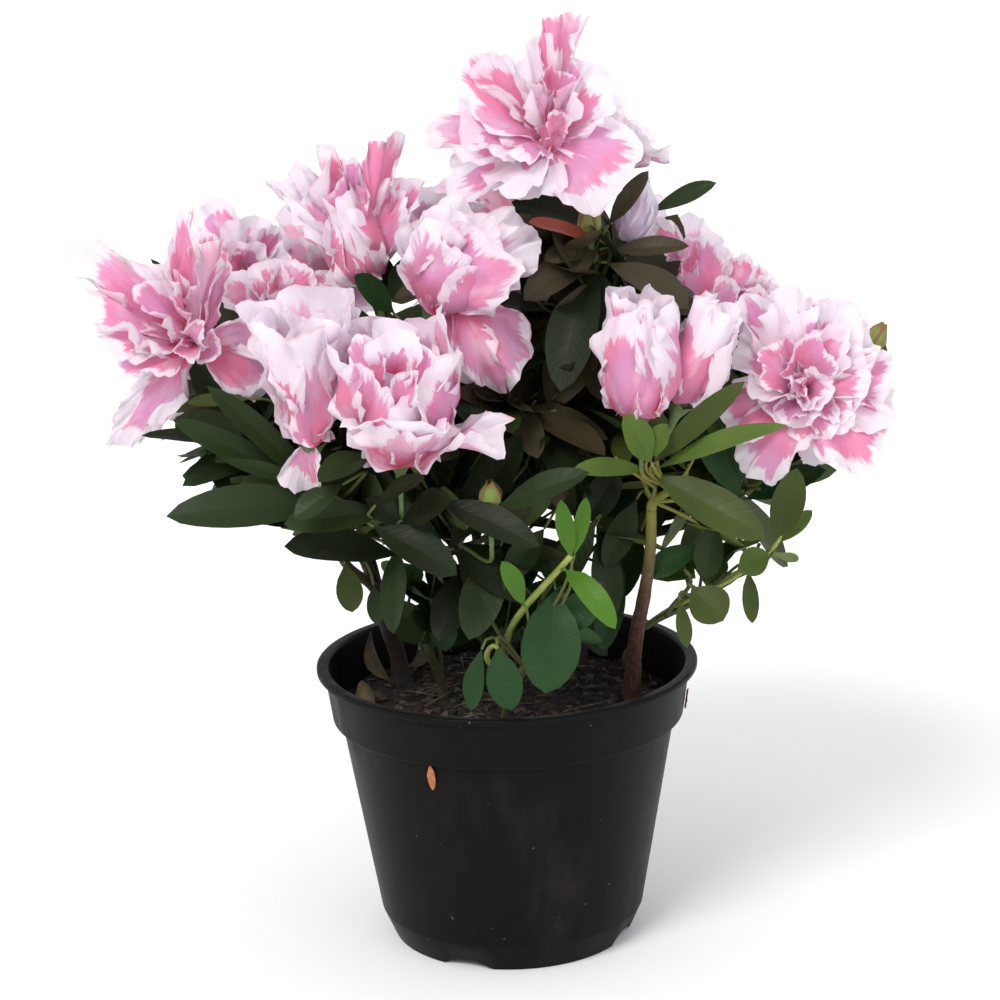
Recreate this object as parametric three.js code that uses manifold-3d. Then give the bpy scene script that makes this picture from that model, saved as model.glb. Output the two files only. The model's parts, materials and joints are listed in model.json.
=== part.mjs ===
// Pot azalea in a black plastic pot: pot, compost, stems, boughs, masses of leaves and blooms.
// Millimetres, +Z up, origin at the centre of the pot's flat underside.
import * as THREE from "three";
import { mergeVertices } from "three/addons/utils/BufferGeometryUtils.js";
import Module from "manifold-3d";

// Pot
const POT_HEIGHT = 97;
const RIM_RADIUS = 65;
const LIP_DEPTH = 2.2;
const BAND_TOP_RADIUS = 62.4;
const BAND_BOTTOM_RADIUS = 60;
const BAND_HEIGHT = 18.5;
const BODY_TOP_RADIUS = 57;
const BODY_BOTTOM_RADIUS = 45.4;
const FOOT_RADIUS = 41;
const FOOT_CHAMFER_HEIGHT = 10;
const POT_WALL = 1.6;
const POT_FLOOR = 4;
const POT_SIDES = 28;
const FOOT_NOTCHES = 4;
const NOTCH_WIDTH = 16;
const NOTCH_HEIGHT = 2.8;
const NOTCH_DEPTH = 12;
const FIRST_NOTCH_TURN = -113;

// Compost
const COMPOST_TOP = 84.5;
const COMPOST_EDGE_DROP = 2.5;
const COMPOST_FLAT_RADIUS = 49;

// Clearances between neighbours, and the finest sizes
const GAP = 0.3;
const MERGE_DISTANCE = 1e-3;
const ROOT_FLARE = 0.5;
const SWEEP_REACH = 0.4;
const TWIG_TIP_RADIUS = 0.8;
const LEAF_THICKNESS = 0.6;
const PETAL_THICKNESS = 0.8;

// Blooms
const STALK_RADIUS = 1;
const CALYX_RADIUS = 2.4;
const THROAT_RADIUS = 3.2;
const STALK_LENGTH = 11;
const TUBE_LENGTH = 10;
const PETAL_ROLL = 0.16;
const HEAD_SHARES = [0.35, 0.8, 1, 0.92, 0.62, 0.2];

// Stems rise from the compost to a fork: foot, fork, and radius at the foot and at the fork
const STEMS = {
  stem_main: { foot: [-6, 17], fork: [-5, 8, 116], radii: [6, 5.2] },
  stem_left: { foot: [-37, 20], fork: [-43, 8, 122], radii: [5, 5] },
  stem_right: { foot: [42.3, -6.2], fork: [48, -36, 158], radii: [3.6, 2.1] },
  stem_back: { foot: [25, 34], fork: [34, 32, 122], radii: [4.8, 4.8] },
};

// Boughs go on from a fork to the mass of leaves that they carry: turn on the fork, and tip
const BOUGHS = {
  bough_top: { stem: "stem_main", turn: 0, tip: [24, 0, 205] },
  bough_middle: { stem: "stem_main", turn: 180, tip: [-4, -4, 172] },
  bough_front: { stem: "stem_main", turn: 270, tip: [-14, -26, 140] },
  bough_back: { stem: "stem_main", turn: 90, tip: [4, 38, 158] },
  bough_left: { stem: "stem_left", turn: 185, tip: [-62, 0, 164] },
  bough_left_low: { stem: "stem_left", turn: 285, tip: [-54, -10, 136] },
  bough_back_left: { stem: "stem_left", turn: 80, tip: [-54, 34, 152] },
  bough_far_right: { stem: "stem_back", turn: 320, tip: [74, 2, 150] },
  bough_back_right: { stem: "stem_back", turn: 60, tip: [54, 40, 152] },
};
const BOUGH_RADII = [1.9, 1.5];
const BOUGH_LIFT = 0.5;

// Masses of leaves: the bough or stem that carries each, or its foot in the compost,
// the middle and radii of its space, and its count of shoots
const MASSES = {
  leaves_top: { on: "bough_top", middle: [32, -10, 222], radii: [32, 28, 30], shoots: 7 },
  leaves_middle: { on: "bough_middle", middle: [2, -18, 190], radii: [34, 30, 28], shoots: 8 },
  leaves_left: { on: "bough_left", middle: [-70, -8, 182], radii: [40, 34, 20], shoots: 6 },
  leaves_left_low: { on: "bough_left_low", middle: [-60, -24, 156], radii: [44, 32, 18], shoots: 6 },
  leaves_front: { on: "bough_front", middle: [-16, -46, 154], radii: [40, 32, 26], shoots: 6 },
  leaves_right: { on: "stem_right", middle: [55, -48, 170], radii: [36, 30, 28], shoots: 6 },
  leaves_far_right: { on: "bough_far_right", middle: [78, -6, 162], radii: [22, 30, 26], shoots: 5 },
  leaves_back_left: { on: "bough_back_left", middle: [-60, 50, 174], radii: [44, 38, 40], shoots: 6 },
  leaves_back: { on: "bough_back", middle: [4, 60, 188], radii: [40, 34, 46], shoots: 6 },
  leaves_back_right: { on: "bough_back_right", middle: [60, 48, 174], radii: [42, 36, 40], shoots: 6 },
  leaves_low: { foot: [-22, 0], middle: [-30, -16, 120], radii: [36, 32, 22], shoots: 5 },
  sprout_front: { foot: [-2, -34], middle: [8, -52, 122], radii: [36, 26, 32], shoots: 5 },
  sprout_right: { foot: [45, -24], middle: [76, -28, 130], radii: [36, 26, 28], shoots: 5 },
};
const SPACE_LIMIT = 1.3;

// A mass's own stem goes this share of the way to its middle; its twigs leave this part of it
const AXLE_RADII = { foot: 1.8, bough: 1.5, stem: 2 };
const AXLE_TAPER = 0.7;
const AXLE_SHARE = 0.7;
const TWIG_ZONE = [0.2, 0.8];
const TWIG_ROOT_SHARE = 0.6;

// A spray of blooms goes on from the tip of its mass's own stem; its stem goes this share of the way
const SPRAY_SHARE = 0.4;

// Shoots end this far out in their mass's space, and turn upwards
const SHOOT_REACH = [0.45, 0.6];
const SHOOT_LIFT = 0.35;
const SHOOT_TRIES = 5;
const SHOOT_TRY_TURN = 31;

// Leaves stand in a spiral; angles in degrees
const LONG_LEAF = { length: 46, halfWidth: 9 };
const ROUND_LEAF = { length: 31, halfWidth: 9.5 };
const LEAVES_ON_SHOOT = 6;
const LEAF_SPACING = 2.6;
const LEAF_SIZES = [0.75, 1.1];
const LEAF_OPENING = [48, 60];
const LEAF_OPENING_STEP = 8;
const LEAF_BENDS = [18, 40];
const LEAF_CUP = 0.18;
const LEAF_DROOP = 0.8;
const LEAF_TRIES = 3;
const LEAF_TRY_TURN = 47;
const GOLDEN_TURN = 137.5;

// Ways that a bloom opens. A petal: turn about the axis, opening, curl, length, half width, cup
function ring(count, firstTurn, opening, curl, length, halfWidth, cup) {
  return Array.from({ length: count }, (_, i) => [
    firstTurn + (360 / count) * i, opening, curl, length, halfWidth, cup,
  ]);
}
const OPEN = [...ring(5, 10, 68, 18, 31, 14, 0.2), ...ring(1, 46, 30, 12, 22, 10, 0.4)];
const HALF_OPEN = [...ring(5, 25, 42, 12, 30, 12, 0.4), ...ring(1, 60, 8, 6, 24, 8, 0.5)];
const ROSETTE = [
  ...ring(6, 0, 80, 12, 32, 14, 0.1),
  ...ring(4, 30, 46, 12, 24, 11, 0.3),
  ...ring(1, 10, 14, 6, 17, 8, 0.6),
];
const TOP_PETALS = [
  [8, 62, 12, 40, 10, 0.3],
  [48, 60, 14, 30, 15, 0.35],
  [108, 66, 12, 36, 18, 0.1],
  [165, 74, 26, 26, 15, 0.2],
  [-140, 50, 10, 28, 16, 0.6],
  [-98, 68, 14, 38, 15, 0.3],
  [-60, 62, 10, 38, 15, 0.3],
  [-30, 30, 8, 30, 10, 0.5],
  [75, 32, 8, 22, 9, 0.4],
];
const BELL_PETALS = [
  [110, 36, 4, 33, 13, 0.4],
  [40, 32, 12, 33, 12, 0.4],
  [-70, 30, 8, 32, 13, 0.4],
  [155, 96, 52, 38, 19, 0.1],
];
const UPRIGHT_PETALS = [
  [95, 36, 8, 40, 11, 0.4],
  [-100, 38, 8, 43, 12, 0.4],
  [30, 28, 6, 44, 9, 0.3],
  [-38, 26, 6, 43, 9, 0.3],
];
const LEFT_PETALS = [
  [0, 48, 10, 36, 13, 0.3],
  [52, 62, 12, 38, 13, 0.35],
  [100, 66, 18, 34, 14, 0.3],
  [150, 66, 24, 44, 12, 0.3],
  [-60, 58, 14, 33, 15, 0.3],
  [-120, 56, 14, 32, 14, 0.3],
  [20, 24, 8, 26, 9, 0.5],
  [140, 28, 8, 24, 9, 0.5],
  [-100, 26, 8, 24, 9, 0.5],
];
const FRONT_PETALS = [
  [-95, 42, -10, 36, 15, 0.4],
  [178, 76, -16, 31, 17, 0.3],
  [105, 58, -6, 33, 16, 0.3],
  [15, 40, -4, 37, 16, 0.4],
];

// Blooms and buds of each mass: throat, aim as turn about Z from +X and rise,
// then the length and radius of a closed head, the petals, or both
const BLOOMS = {
  bloom_top: { on: "leaves_top", throat: [16, -14, 272], aim: [-84, 34], petals: TOP_PETALS },
  bloom_top_side: {
    on: "leaves_top", throat: [44, 14, 262], aim: [10, 62], petals: HALF_OPEN, scale: 0.72,
  },
  bud_lilac: { on: "leaves_top", throat: [44, -8, 244], aim: [-20, 72], closed: [19, 6.5] },
  bud_green: { on: "leaves_top", throat: [31, -15, 243], aim: [-100, 80], closed: [13, 4] },
  bloom_bell: {
    on: "leaves_middle", throat: [-14, -33, 233], aim: [-52, 66], closed: [28, 17], petals: BELL_PETALS,
  },
  bloom_upright: {
    on: "leaves_middle", throat: [-41, -7, 230], aim: [190, 80],
    closed: [32, 11], petals: UPRIGHT_PETALS,
  },
  bloom_left: { on: "leaves_left", throat: [-100, -24, 220], aim: [-146, 14], petals: LEFT_PETALS },
  bloom_left_behind: {
    on: "leaves_left", throat: [-84, 26, 230], aim: [112, 58], petals: OPEN, scale: 0.85,
  },
  bloom_left_inner: {
    on: "leaves_left", throat: [-66, -6, 222], aim: [-66, 40], petals: OPEN, scale: 0.9,
  },
  bloom_front_closed: {
    on: "leaves_left_low", throat: [-60, -58, 192], aim: [-110, 84], closed: [42, 14],
  },
  bloom_front: {
    on: "leaves_front", throat: [-34, -65, 194], aim: [-72, 58], closed: [24, 11], petals: FRONT_PETALS,
  },
  bud_centre: { on: "leaves_front", throat: [-4, -62, 168], aim: [-90, 70], closed: [9, 3.6] },
  bloom_right_closed: { on: "leaves_right", throat: [44, -52, 196], aim: [-150, 86], closed: [36, 13] },
  bloom_right_slim: { on: "leaves_right", throat: [62, -42, 194], aim: [10, 74], closed: [30, 10] },
  bloom_right_behind: {
    on: "leaves_far_right", throat: [62, 18, 222], aim: [-70, 44], petals: OPEN, scale: 0.85,
  },
  bloom_rosette: { on: "leaves_far_right", throat: [98, -27, 196], aim: [-82, 12], petals: ROSETTE },
  bloom_right_upper: {
    on: "leaves_far_right", throat: [88, 14, 212], aim: [10, 60], petals: OPEN, scale: 0.8,
  },
  bud_far_right: { on: "leaves_far_right", throat: [122, -6, 202], aim: [10, 60], closed: [11, 4] },
  bloom_back_left: { on: "leaves_back_left", throat: [-60, 74, 214], aim: [125, 26], petals: OPEN },
  bloom_left_side: {
    on: "leaves_back_left", throat: [-98, 36, 188], aim: [158, 20], petals: HALF_OPEN,
  },
  bloom_back_high: { on: "leaves_back", throat: [-22, 50, 228], aim: [112, 62], petals: HALF_OPEN },
  bloom_back: { on: "leaves_back", throat: [6, 86, 232], aim: [88, 30], petals: OPEN },
  bloom_back_low: { on: "leaves_back", throat: [18, 98, 184], aim: [85, 40], closed: [36, 13] },
  bloom_back_right: { on: "leaves_back_right", throat: [62, 72, 208], aim: [62, 24], petals: OPEN },
  bloom_right_side: {
    on: "leaves_back_right", throat: [100, 44, 186], aim: [24, 22], petals: HALF_OPEN,
  },
};

const finishes = {
  plastic: new THREE.MeshStandardMaterial({ color: 0x141414, roughness: 0.42, metalness: 0 }),
  compost: new THREE.MeshStandardMaterial({ color: 0x2b211b, roughness: 0.95, metalness: 0 }),
  bark: new THREE.MeshStandardMaterial({ color: 0x4a2f22, roughness: 0.85, metalness: 0 }),
  leaf: new THREE.MeshStandardMaterial({ color: 0x2a3d22, roughness: 0.45, metalness: 0 }),
  youngLeaf: new THREE.MeshStandardMaterial({ color: 0x4f7a2c, roughness: 0.5, metalness: 0 }),
  petal: new THREE.MeshStandardMaterial({ color: 0xeaa3bd, roughness: 0.6, metalness: 0 }),
};

const wasm = await Module();
wasm.setup();
const UP = new THREE.Vector3(0, 0, 1);
const radians = THREE.MathUtils.degToRad;
const point = (xyz) => new THREE.Vector3(...xyz);

// Repeatable numbers from 0 to 1, by a linear congruence that whole numbers hold exactly
const CONGRUENCE = { factor: 1664525, step: 1013904223, size: 2 ** 32 };
const SEED_SPREAD = 7919;
function seeded(seed) {
  let state = seed * SEED_SPREAD;
  return () => {
    state = (state * CONGRUENCE.factor + CONGRUENCE.step) % CONGRUENCE.size;
    return state / CONGRUENCE.size;
  };
}

// A number between two others at a share of the way
const between = ([low, high], share) => THREE.MathUtils.lerp(low, high, share);

// Direction from a turn about Z and a rise above level, in degrees
function direction(turn, rise) {
  const flat = Math.cos(radians(rise));
  return new THREE.Vector3(
    flat * Math.cos(radians(turn)), flat * Math.sin(radians(turn)), Math.sin(radians(rise)),
  );
}

// The direction that leans from one axis towards another, square to it, by an angle
function lean(axis, towards, angle) {
  return axis.clone().multiplyScalar(Math.cos(angle)).addScaledVector(towards, Math.sin(angle));
}

// The part of a vector that is square to an axis, at unit length
function squareTo(vector, axis) {
  return vector.clone().addScaledVector(axis, -vector.dot(axis)).normalize();
}

// Closed geometry to solid and back
function solid(geometry) {
  const bare = geometry.clone();
  bare.deleteAttribute("normal");
  bare.deleteAttribute("uv");
  const merged = mergeVertices(bare, MERGE_DISTANCE);
  return new wasm.Manifold(
    new wasm.Mesh({
      numProp: 3,
      vertProperties: merged.attributes.position.array,
      triVerts: new Uint32Array(merged.index.array),
    }),
  );
}
function geometryOf(body) {
  const mesh = body.getMesh();
  const geometry = new THREE.BufferGeometry();
  geometry.setAttribute("position", new THREE.BufferAttribute(mesh.vertProperties, 3));
  geometry.setIndex(new THREE.BufferAttribute(mesh.triVerts, 1));
  geometry.computeVertexNormals();
  return geometry;
}

// Joins pieces into one body: loose scraps are dropped and sealed hollows filled
function largestBody(body) {
  return body.decompose().reduce((best, part) => (part.volume() > best.volume() ? part : best));
}
function fuse(pieces) {
  const joined = largestBody(wasm.Manifold.union(pieces));
  return largestBody(solid(geometryOf(joined)));
}

// A tapering limb along a curve: a cylinder bent onto it, its radii read evenly along its length
function limb(curve, radii, sides, steps) {
  const geometry = new THREE.CylinderGeometry(1, 1, 1, sides, steps);
  const { normals, binormals } = curve.computeFrenetFrames(steps, false);
  const places = geometry.attributes.position;
  const vertex = new THREE.Vector3();
  for (let i = 0; i < places.count; i++) {
    vertex.fromBufferAttribute(places, i);
    const step = Math.round((vertex.y + 0.5) * steps);
    const along = step / steps;
    const place = (radii.length - 1) * along;
    const low = Math.min(Math.floor(place), radii.length - 2);
    const radius = between(radii.slice(low), place - low);
    const centre = curve.getPointAt(along);
    centre.addScaledVector(normals[step], vertex.x * radius);
    centre.addScaledVector(binormals[step], -vertex.z * radius);
    places.setXYZ(i, centre.x, centre.y, centre.z);
  }
  return solid(geometry);
}

// A curve that leaves one end along a direction and reaches the other end along another
function sweep(start, startAim, end, endAim) {
  const reach = start.distanceTo(end) * SWEEP_REACH;
  return new THREE.CubicBezierCurve3(
    start,
    start.clone().addScaledVector(startAim, reach),
    end.clone().addScaledVector(endAim, -reach),
    end,
  );
}

// Outlines of a leaf and of a petal: share of the half width at a share of the length
const leafOutline = (u) => Math.sin(Math.PI * u ** 0.9) ** 0.85;
const petalOutline = (u) => Math.sin(Math.PI * u ** 1.35) ** 0.65;

// A point of a blade: its rib is an arc from its root, its edges rise from the rib by the cup,
// and the roll lifts one edge over the next blade
function bladePoint(blade, u, v) {
  const { bend } = blade;
  const width = blade.halfWidth * blade.outline(u);
  const side = blade.ahead.clone().cross(blade.outward);
  return blade.root
    .clone()
    .addScaledVector(blade.ahead, (blade.length * Math.sin(bend * u)) / bend)
    .addScaledVector(blade.outward, (blade.length * (1 - Math.cos(bend * u))) / bend)
    .addScaledVector(side, width * v)
    .addScaledVector(bladeNormal(blade, u), width * v * (blade.cup * v + blade.roll));
}
function bladeNormal(blade, u) {
  const side = blade.ahead.clone().cross(blade.outward);
  return lean(blade.ahead, blade.outward, blade.bend * u).cross(side);
}

// A closed thin blade: a ball whose rings are laid on the blade at the stations.
// A section lists the points round a ring: place across, and side of the rib.
const KEELED = [[-1, 0], [1, 0], [0, -1]];
const LENS = [[-1, 0], [0, 0.5], [1, 0], [0, -0.5]];
const LEAF_STATIONS = [0.3, 0.68];
const PETAL_STATIONS = [0.45, 0.85];
function bladeSolid(blade, section, stations, thickness) {
  const geometry = new THREE.SphereGeometry(1, section.length, stations.length + 1);
  const places = geometry.attributes.position;
  const shares = geometry.attributes.uv;
  const alongs = [0, ...stations, 1];
  for (let i = 0; i < places.count; i++) {
    const ringIndex = Math.round((1 - shares.getY(i)) * (stations.length + 1));
    const turnIndex = Math.round(shares.getX(i) * section.length) % section.length;
    const pole = ringIndex === 0 || ringIndex === alongs.length - 1;
    const [across, side] = pole ? [0, 0] : section[turnIndex];
    const u = alongs[ringIndex];
    const place = bladePoint(blade, u, across);
    place.addScaledVector(bladeNormal(blade, u), side * thickness);
    places.setXYZ(i, place.x, place.y, place.z);
  }
  return solid(geometry);
}

// What is already in place, so that what grows later stays clear of it.
// Within its own node a piece may touch its own spray, or all of the node where no spray is given.
const standing = [];
function boxesApart(a, b) {
  return [0, 1, 2].some((k) => a.min[k] > b.max[k] + GAP || b.min[k] > a.max[k] + GAP);
}
function isClear(body, node, spray) {
  const box = body.boundingBox();
  return standing.every(
    (other) =>
      (other.node === node && (spray === undefined || other.spray === spray)) ||
      boxesApart(box, other.box) ||
      body.minGap(other.body, 2 * GAP) > GAP,
  );
}
function stand(body, node, spray) {
  standing.push({ body, node, spray, box: body.boundingBox() });
  return body;
}

// A named mesh whose own origin is its foot
function addNode(group, name, body, finish, foot) {
  const place = foot.clone().round();
  const geometry = geometryOf(body).translate(-place.x, -place.y, -place.z);
  const mesh = new THREE.Mesh(geometry, finishes[finish]);
  mesh.name = name;
  mesh.position.copy(place);
  group.add(mesh);
}

// Pot: a turned wall with a lip, a band and a chamfered foot with notches
function potSolid() {
  const bandFoot = POT_HEIGHT - BAND_HEIGHT;
  const outer = [
    [FOOT_RADIUS, 0],
    [BODY_BOTTOM_RADIUS, FOOT_CHAMFER_HEIGHT],
    [BODY_TOP_RADIUS, bandFoot - 1],
    [BAND_BOTTOM_RADIUS, bandFoot],
    [BAND_TOP_RADIUS, POT_HEIGHT - LIP_DEPTH],
    [RIM_RADIUS, POT_HEIGHT - LIP_DEPTH + 0.6],
    [RIM_RADIUS - 0.6, POT_HEIGHT],
  ];
  const inner = [
    [BAND_TOP_RADIUS - POT_WALL, POT_HEIGHT],
    [BAND_BOTTOM_RADIUS - POT_WALL, bandFoot + 1],
    [BODY_TOP_RADIUS - POT_WALL, bandFoot - 2],
    [BODY_BOTTOM_RADIUS - POT_WALL, FOOT_CHAMFER_HEIGHT],
    [FOOT_RADIUS - POT_WALL, POT_FLOOR],
  ];
  const profile = [[0, 0], ...outer, ...inner, [0, POT_FLOOR]];
  return solid(latheGeometry(profile)).subtract(wasm.Manifold.union(footNotches()));
}
function latheGeometry(profile) {
  const points = profile.map(([radius, height]) => new THREE.Vector2(radius, height));
  return new THREE.LatheGeometry(points, POT_SIDES).rotateX(Math.PI / 2);
}
function footNotches() {
  return Array.from({ length: FOOT_NOTCHES }, (_, i) => {
    const turn = radians(FIRST_NOTCH_TURN + (360 / FOOT_NOTCHES) * i);
    const arch = new THREE.CylinderGeometry(NOTCH_WIDTH / 2, NOTCH_WIDTH / 2, NOTCH_DEPTH, 12);
    arch.rotateZ(Math.PI / 2);
    arch.scale(1, 1, (2 * NOTCH_HEIGHT) / NOTCH_WIDTH);
    arch.translate(FOOT_RADIUS + NOTCH_DEPTH / 4, 0, 0);
    arch.rotateZ(turn);
    return solid(arch);
  });
}

// Compost: fills the pot to below the rim, with a flat top where the stems stand
function compostSolid() {
  const bandFoot = POT_HEIGHT - BAND_HEIGHT;
  const clear = POT_WALL + 0.5;
  const profile = [
    [0, POT_FLOOR + GAP],
    [FOOT_RADIUS - clear - 0.6, POT_FLOOR + GAP],
    [BODY_BOTTOM_RADIUS - clear, FOOT_CHAMFER_HEIGHT],
    [BODY_TOP_RADIUS - clear, bandFoot - 2],
    [BAND_BOTTOM_RADIUS - clear, bandFoot + 1.6],
    [BAND_BOTTOM_RADIUS - clear, COMPOST_TOP - COMPOST_EDGE_DROP],
    [COMPOST_FLAT_RADIUS, COMPOST_TOP],
    [0, COMPOST_TOP],
  ];
  return solid(latheGeometry(profile));
}

// Stem: flared foot cut flat on the compost, tapering to its fork
function stemCurve({ foot, fork }) {
  const start = new THREE.Vector3(foot[0], foot[1], COMPOST_TOP + GAP);
  return sweep(start, UP, point(fork), UP);
}
function stemSolid(stem) {
  const [low, high] = stem.radii;
  const radii = [low * (1 + ROOT_FLARE), low * 1.08, low, between(stem.radii, 0.5), high];
  return limb(stemCurve(stem), radii, 7, 6);
}

// Bough: stands on its stem's fork beside the others, and tapers to its tip
function boughCurve({ stem, turn, tip }) {
  const { fork, radii } = STEMS[stem];
  const offset = direction(turn, 0).multiplyScalar(radii[1] - BOUGH_RADII[0]);
  const start = point(fork).add(offset).addScaledVector(UP, GAP);
  const end = point(tip);
  const lead = end.clone().sub(start).normalize().addScaledVector(UP, BOUGH_LIFT).normalize();
  return sweep(start, UP, end, lead);
}

// Bloom: a stalk, calyx and tube along the axis, then a closed head, petals or both from the throat
function bloomFrame({ throat, aim }) {
  const axis = direction(...aim);
  const upright = squareTo(UP, axis);
  const sideways = axis.clone().negate().cross(upright);
  const foot = point(throat).addScaledVector(axis, -STALK_LENGTH - TUBE_LENGTH);
  return { axis, upright, sideways, throat: point(throat), foot };
}
function petalBlade(frame, [turn, opening, curl, length, halfWidth, cup], scale) {
  const radial = lean(frame.upright, frame.sideways, radians(turn));
  return {
    root: frame.throat.clone().addScaledVector(radial, 1.2).addScaledVector(frame.axis, -1.5),
    ahead: lean(frame.axis, radial, radians(opening)),
    outward: lean(radial, frame.axis, -radians(opening)),
    length: length * scale,
    bend: radians(curl),
    halfWidth: halfWidth * scale,
    cup,
    roll: PETAL_ROLL,
    outline: petalOutline,
  };
}
function closedHead(frame, [length, radius]) {
  const radii = HEAD_SHARES.map((share) => share * radius);
  const start = frame.throat.clone().addScaledVector(frame.axis, -2);
  const end = frame.throat.clone().addScaledVector(frame.axis, length);
  return limb(new THREE.LineCurve3(start, end), radii, 6, 5);
}
function bloomPieces(bloom, node) {
  const frame = bloomFrame(bloom);
  const stalk = new THREE.LineCurve3(frame.foot, frame.throat);
  const radii = [STALK_RADIUS, STALK_RADIUS, CALYX_RADIUS, 2, THROAT_RADIUS];
  const core = limb(stalk, radii, 3, 4);
  const head = bloom.closed ? [closedHead(frame, bloom.closed)] : [];
  const petals = (bloom.petals ?? [])
    .map((row) => petalBlade(frame, row, bloom.scale ?? 1))
    .map((blade) => bladeSolid(blade, LENS, PETAL_STATIONS, PETAL_THICKNESS))
    .filter((petal) => isClear(petal, node));
  return [core, ...head, ...petals];
}

// Space of a mass: 1 on its surface, less inside
function depthIn({ middle, radii }, place) {
  const [x, y, z] = place.toArray().map((value, k) => (value - middle[k]) / radii[k]);
  return Math.hypot(x, y, z);
}
function belongs(name, place) {
  const own = depthIn(MASSES[name], place);
  return own < SPACE_LIMIT && Object.values(MASSES).every((mass) => depthIn(mass, place) >= own);
}

// Where a mass starts: just clear of its bough's or stem's tip, or on the compost
function startOf(mass) {
  if (mass.foot) {
    const start = new THREE.Vector3(mass.foot[0], mass.foot[1], COMPOST_TOP + GAP);
    return { start, aim: UP.clone(), radius: AXLE_RADII.foot };
  }
  const isBough = mass.on in BOUGHS;
  const curve = isBough ? boughCurve(BOUGHS[mass.on]) : stemCurve(STEMS[mass.on]);
  const aim = curve.getTangentAt(1);
  const start = curve.getPointAt(1).addScaledVector(aim, GAP);
  return { start, aim, radius: isBough ? AXLE_RADII.bough : AXLE_RADII.stem };
}

// Shoots of a mass: tips spread evenly over its space, each with a few turns to choose from
function shootTips(mass, random) {
  const firstTurn = 360 * random();
  return Array.from({ length: mass.shoots }, (_, i) => {
    const rise = 1 - (2 * (i + 0.5)) / mass.shoots;
    const reach = between(SHOOT_REACH, random());
    return Array.from({ length: SHOOT_TRIES }, (_, k) => {
      const turn = firstTurn + GOLDEN_TURN * i + SHOOT_TRY_TURN * k;
      const aim = direction(turn, 0).multiplyScalar(Math.sqrt(1 - rise * rise));
      aim.z = 0.75 * rise + 0.1;
      const offset = aim.clone().multiply(point(mass.radii)).multiplyScalar(reach);
      return {
        tip: point(mass.middle).add(offset),
        aim: aim.addScaledVector(UP, SHOOT_LIFT).normalize(),
      };
    });
  });
}

// Leaves of a shoot: a spiral that opens wider down the shoot, each with a few turns to choose from
function shootLeaves({ tip, aim }, leaf, random) {
  const across = squareTo(Math.abs(aim.z) > 0.9 ? new THREE.Vector3(1, 0, 0) : UP, aim);
  const third = aim.clone().cross(across);
  const firstTurn = 360 * random();
  return Array.from({ length: LEAVES_ON_SHOOT }, (_, j) => {
    const opening = radians(between(LEAF_OPENING, random()) + LEAF_OPENING_STEP * j);
    const size = between(LEAF_SIZES, random());
    const bend = radians(between(LEAF_BENDS, random()));
    return Array.from({ length: LEAF_TRIES }, (_, k) => {
      const turn = radians(firstTurn + GOLDEN_TURN * j + LEAF_TRY_TURN * k);
      const ahead = lean(aim, lean(across, third, turn), opening);
      return {
        root: tip.clone().addScaledVector(aim, -1 - LEAF_SPACING * j),
        ahead,
        outward: squareTo(aim.clone().addScaledVector(UP, LEAF_DROOP).negate(), ahead),
        length: leaf.length * size,
        bend,
        halfWidth: leaf.halfWidth * size,
        cup: LEAF_CUP,
        roll: 0,
        outline: leafOutline,
      };
    });
  });
}

// A mass's own stem: most of the way to its middle
function massStem(mass) {
  const { start, aim, radius } = startOf(mass);
  const heart = start.clone().lerp(point(mass.middle), AXLE_SHARE);
  return { curve: sweep(start, aim, heart, heart.clone().sub(start).normalize()), radius };
}

// The stem of a spray of blooms: on from the tip of its mass's stem, part of the way to the blooms
function sprayStem(mass, feet) {
  const { curve, radius } = massStem(mass);
  const aim = curve.getTangentAt(1);
  const start = curve.getPointAt(1).addScaledVector(aim, GAP);
  const centre = feet.reduce((sum, foot) => sum.add(foot), new THREE.Vector3());
  const heart = start.clone().lerp(centre.divideScalar(feet.length), SPRAY_SHARE);
  const lead = heart.clone().sub(start).normalize();
  return { curve: sweep(start, aim, heart, lead), radius: radius * AXLE_TAPER };
}

// A stem, and a twig that leaves it at a share of the zone of its twigs
function stemLimb({ curve, radius }) {
  return limb(curve, [radius, radius * AXLE_TAPER], 5, 2);
}
function twigLimb({ curve, radius }, share, { tip, aim }) {
  const root = curve.getPointAt(between(TWIG_ZONE, share));
  const lead = tip.clone().sub(root).normalize();
  return limb(sweep(root, lead, tip, aim), [radius * TWIG_ROOT_SHARE, TWIG_TIP_RADIUS], 3, 2);
}

// A spray: its stem and twigs, with a bloom sunk on each
function spraySolid(name, mass, blooms) {
  const frames = blooms.map(bloomFrame);
  const stem = sprayStem(mass, frames.map(({ foot }) => foot));
  const twigs = frames.map(({ foot, axis }, i) => {
    const tip = foot.clone().addScaledVector(axis, STALK_RADIUS);
    return twigLimb(stem, (i + 1) / blooms.length, { tip, aim: axis });
  });
  const pieces = [stemLimb(stem), ...twigs].map((piece) => stand(piece, name));
  for (const bloom of blooms) {
    bloomPieces(bloom, name).forEach((piece) => pieces.push(stand(piece, name)));
  }
  return fuse(pieces);
}

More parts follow.
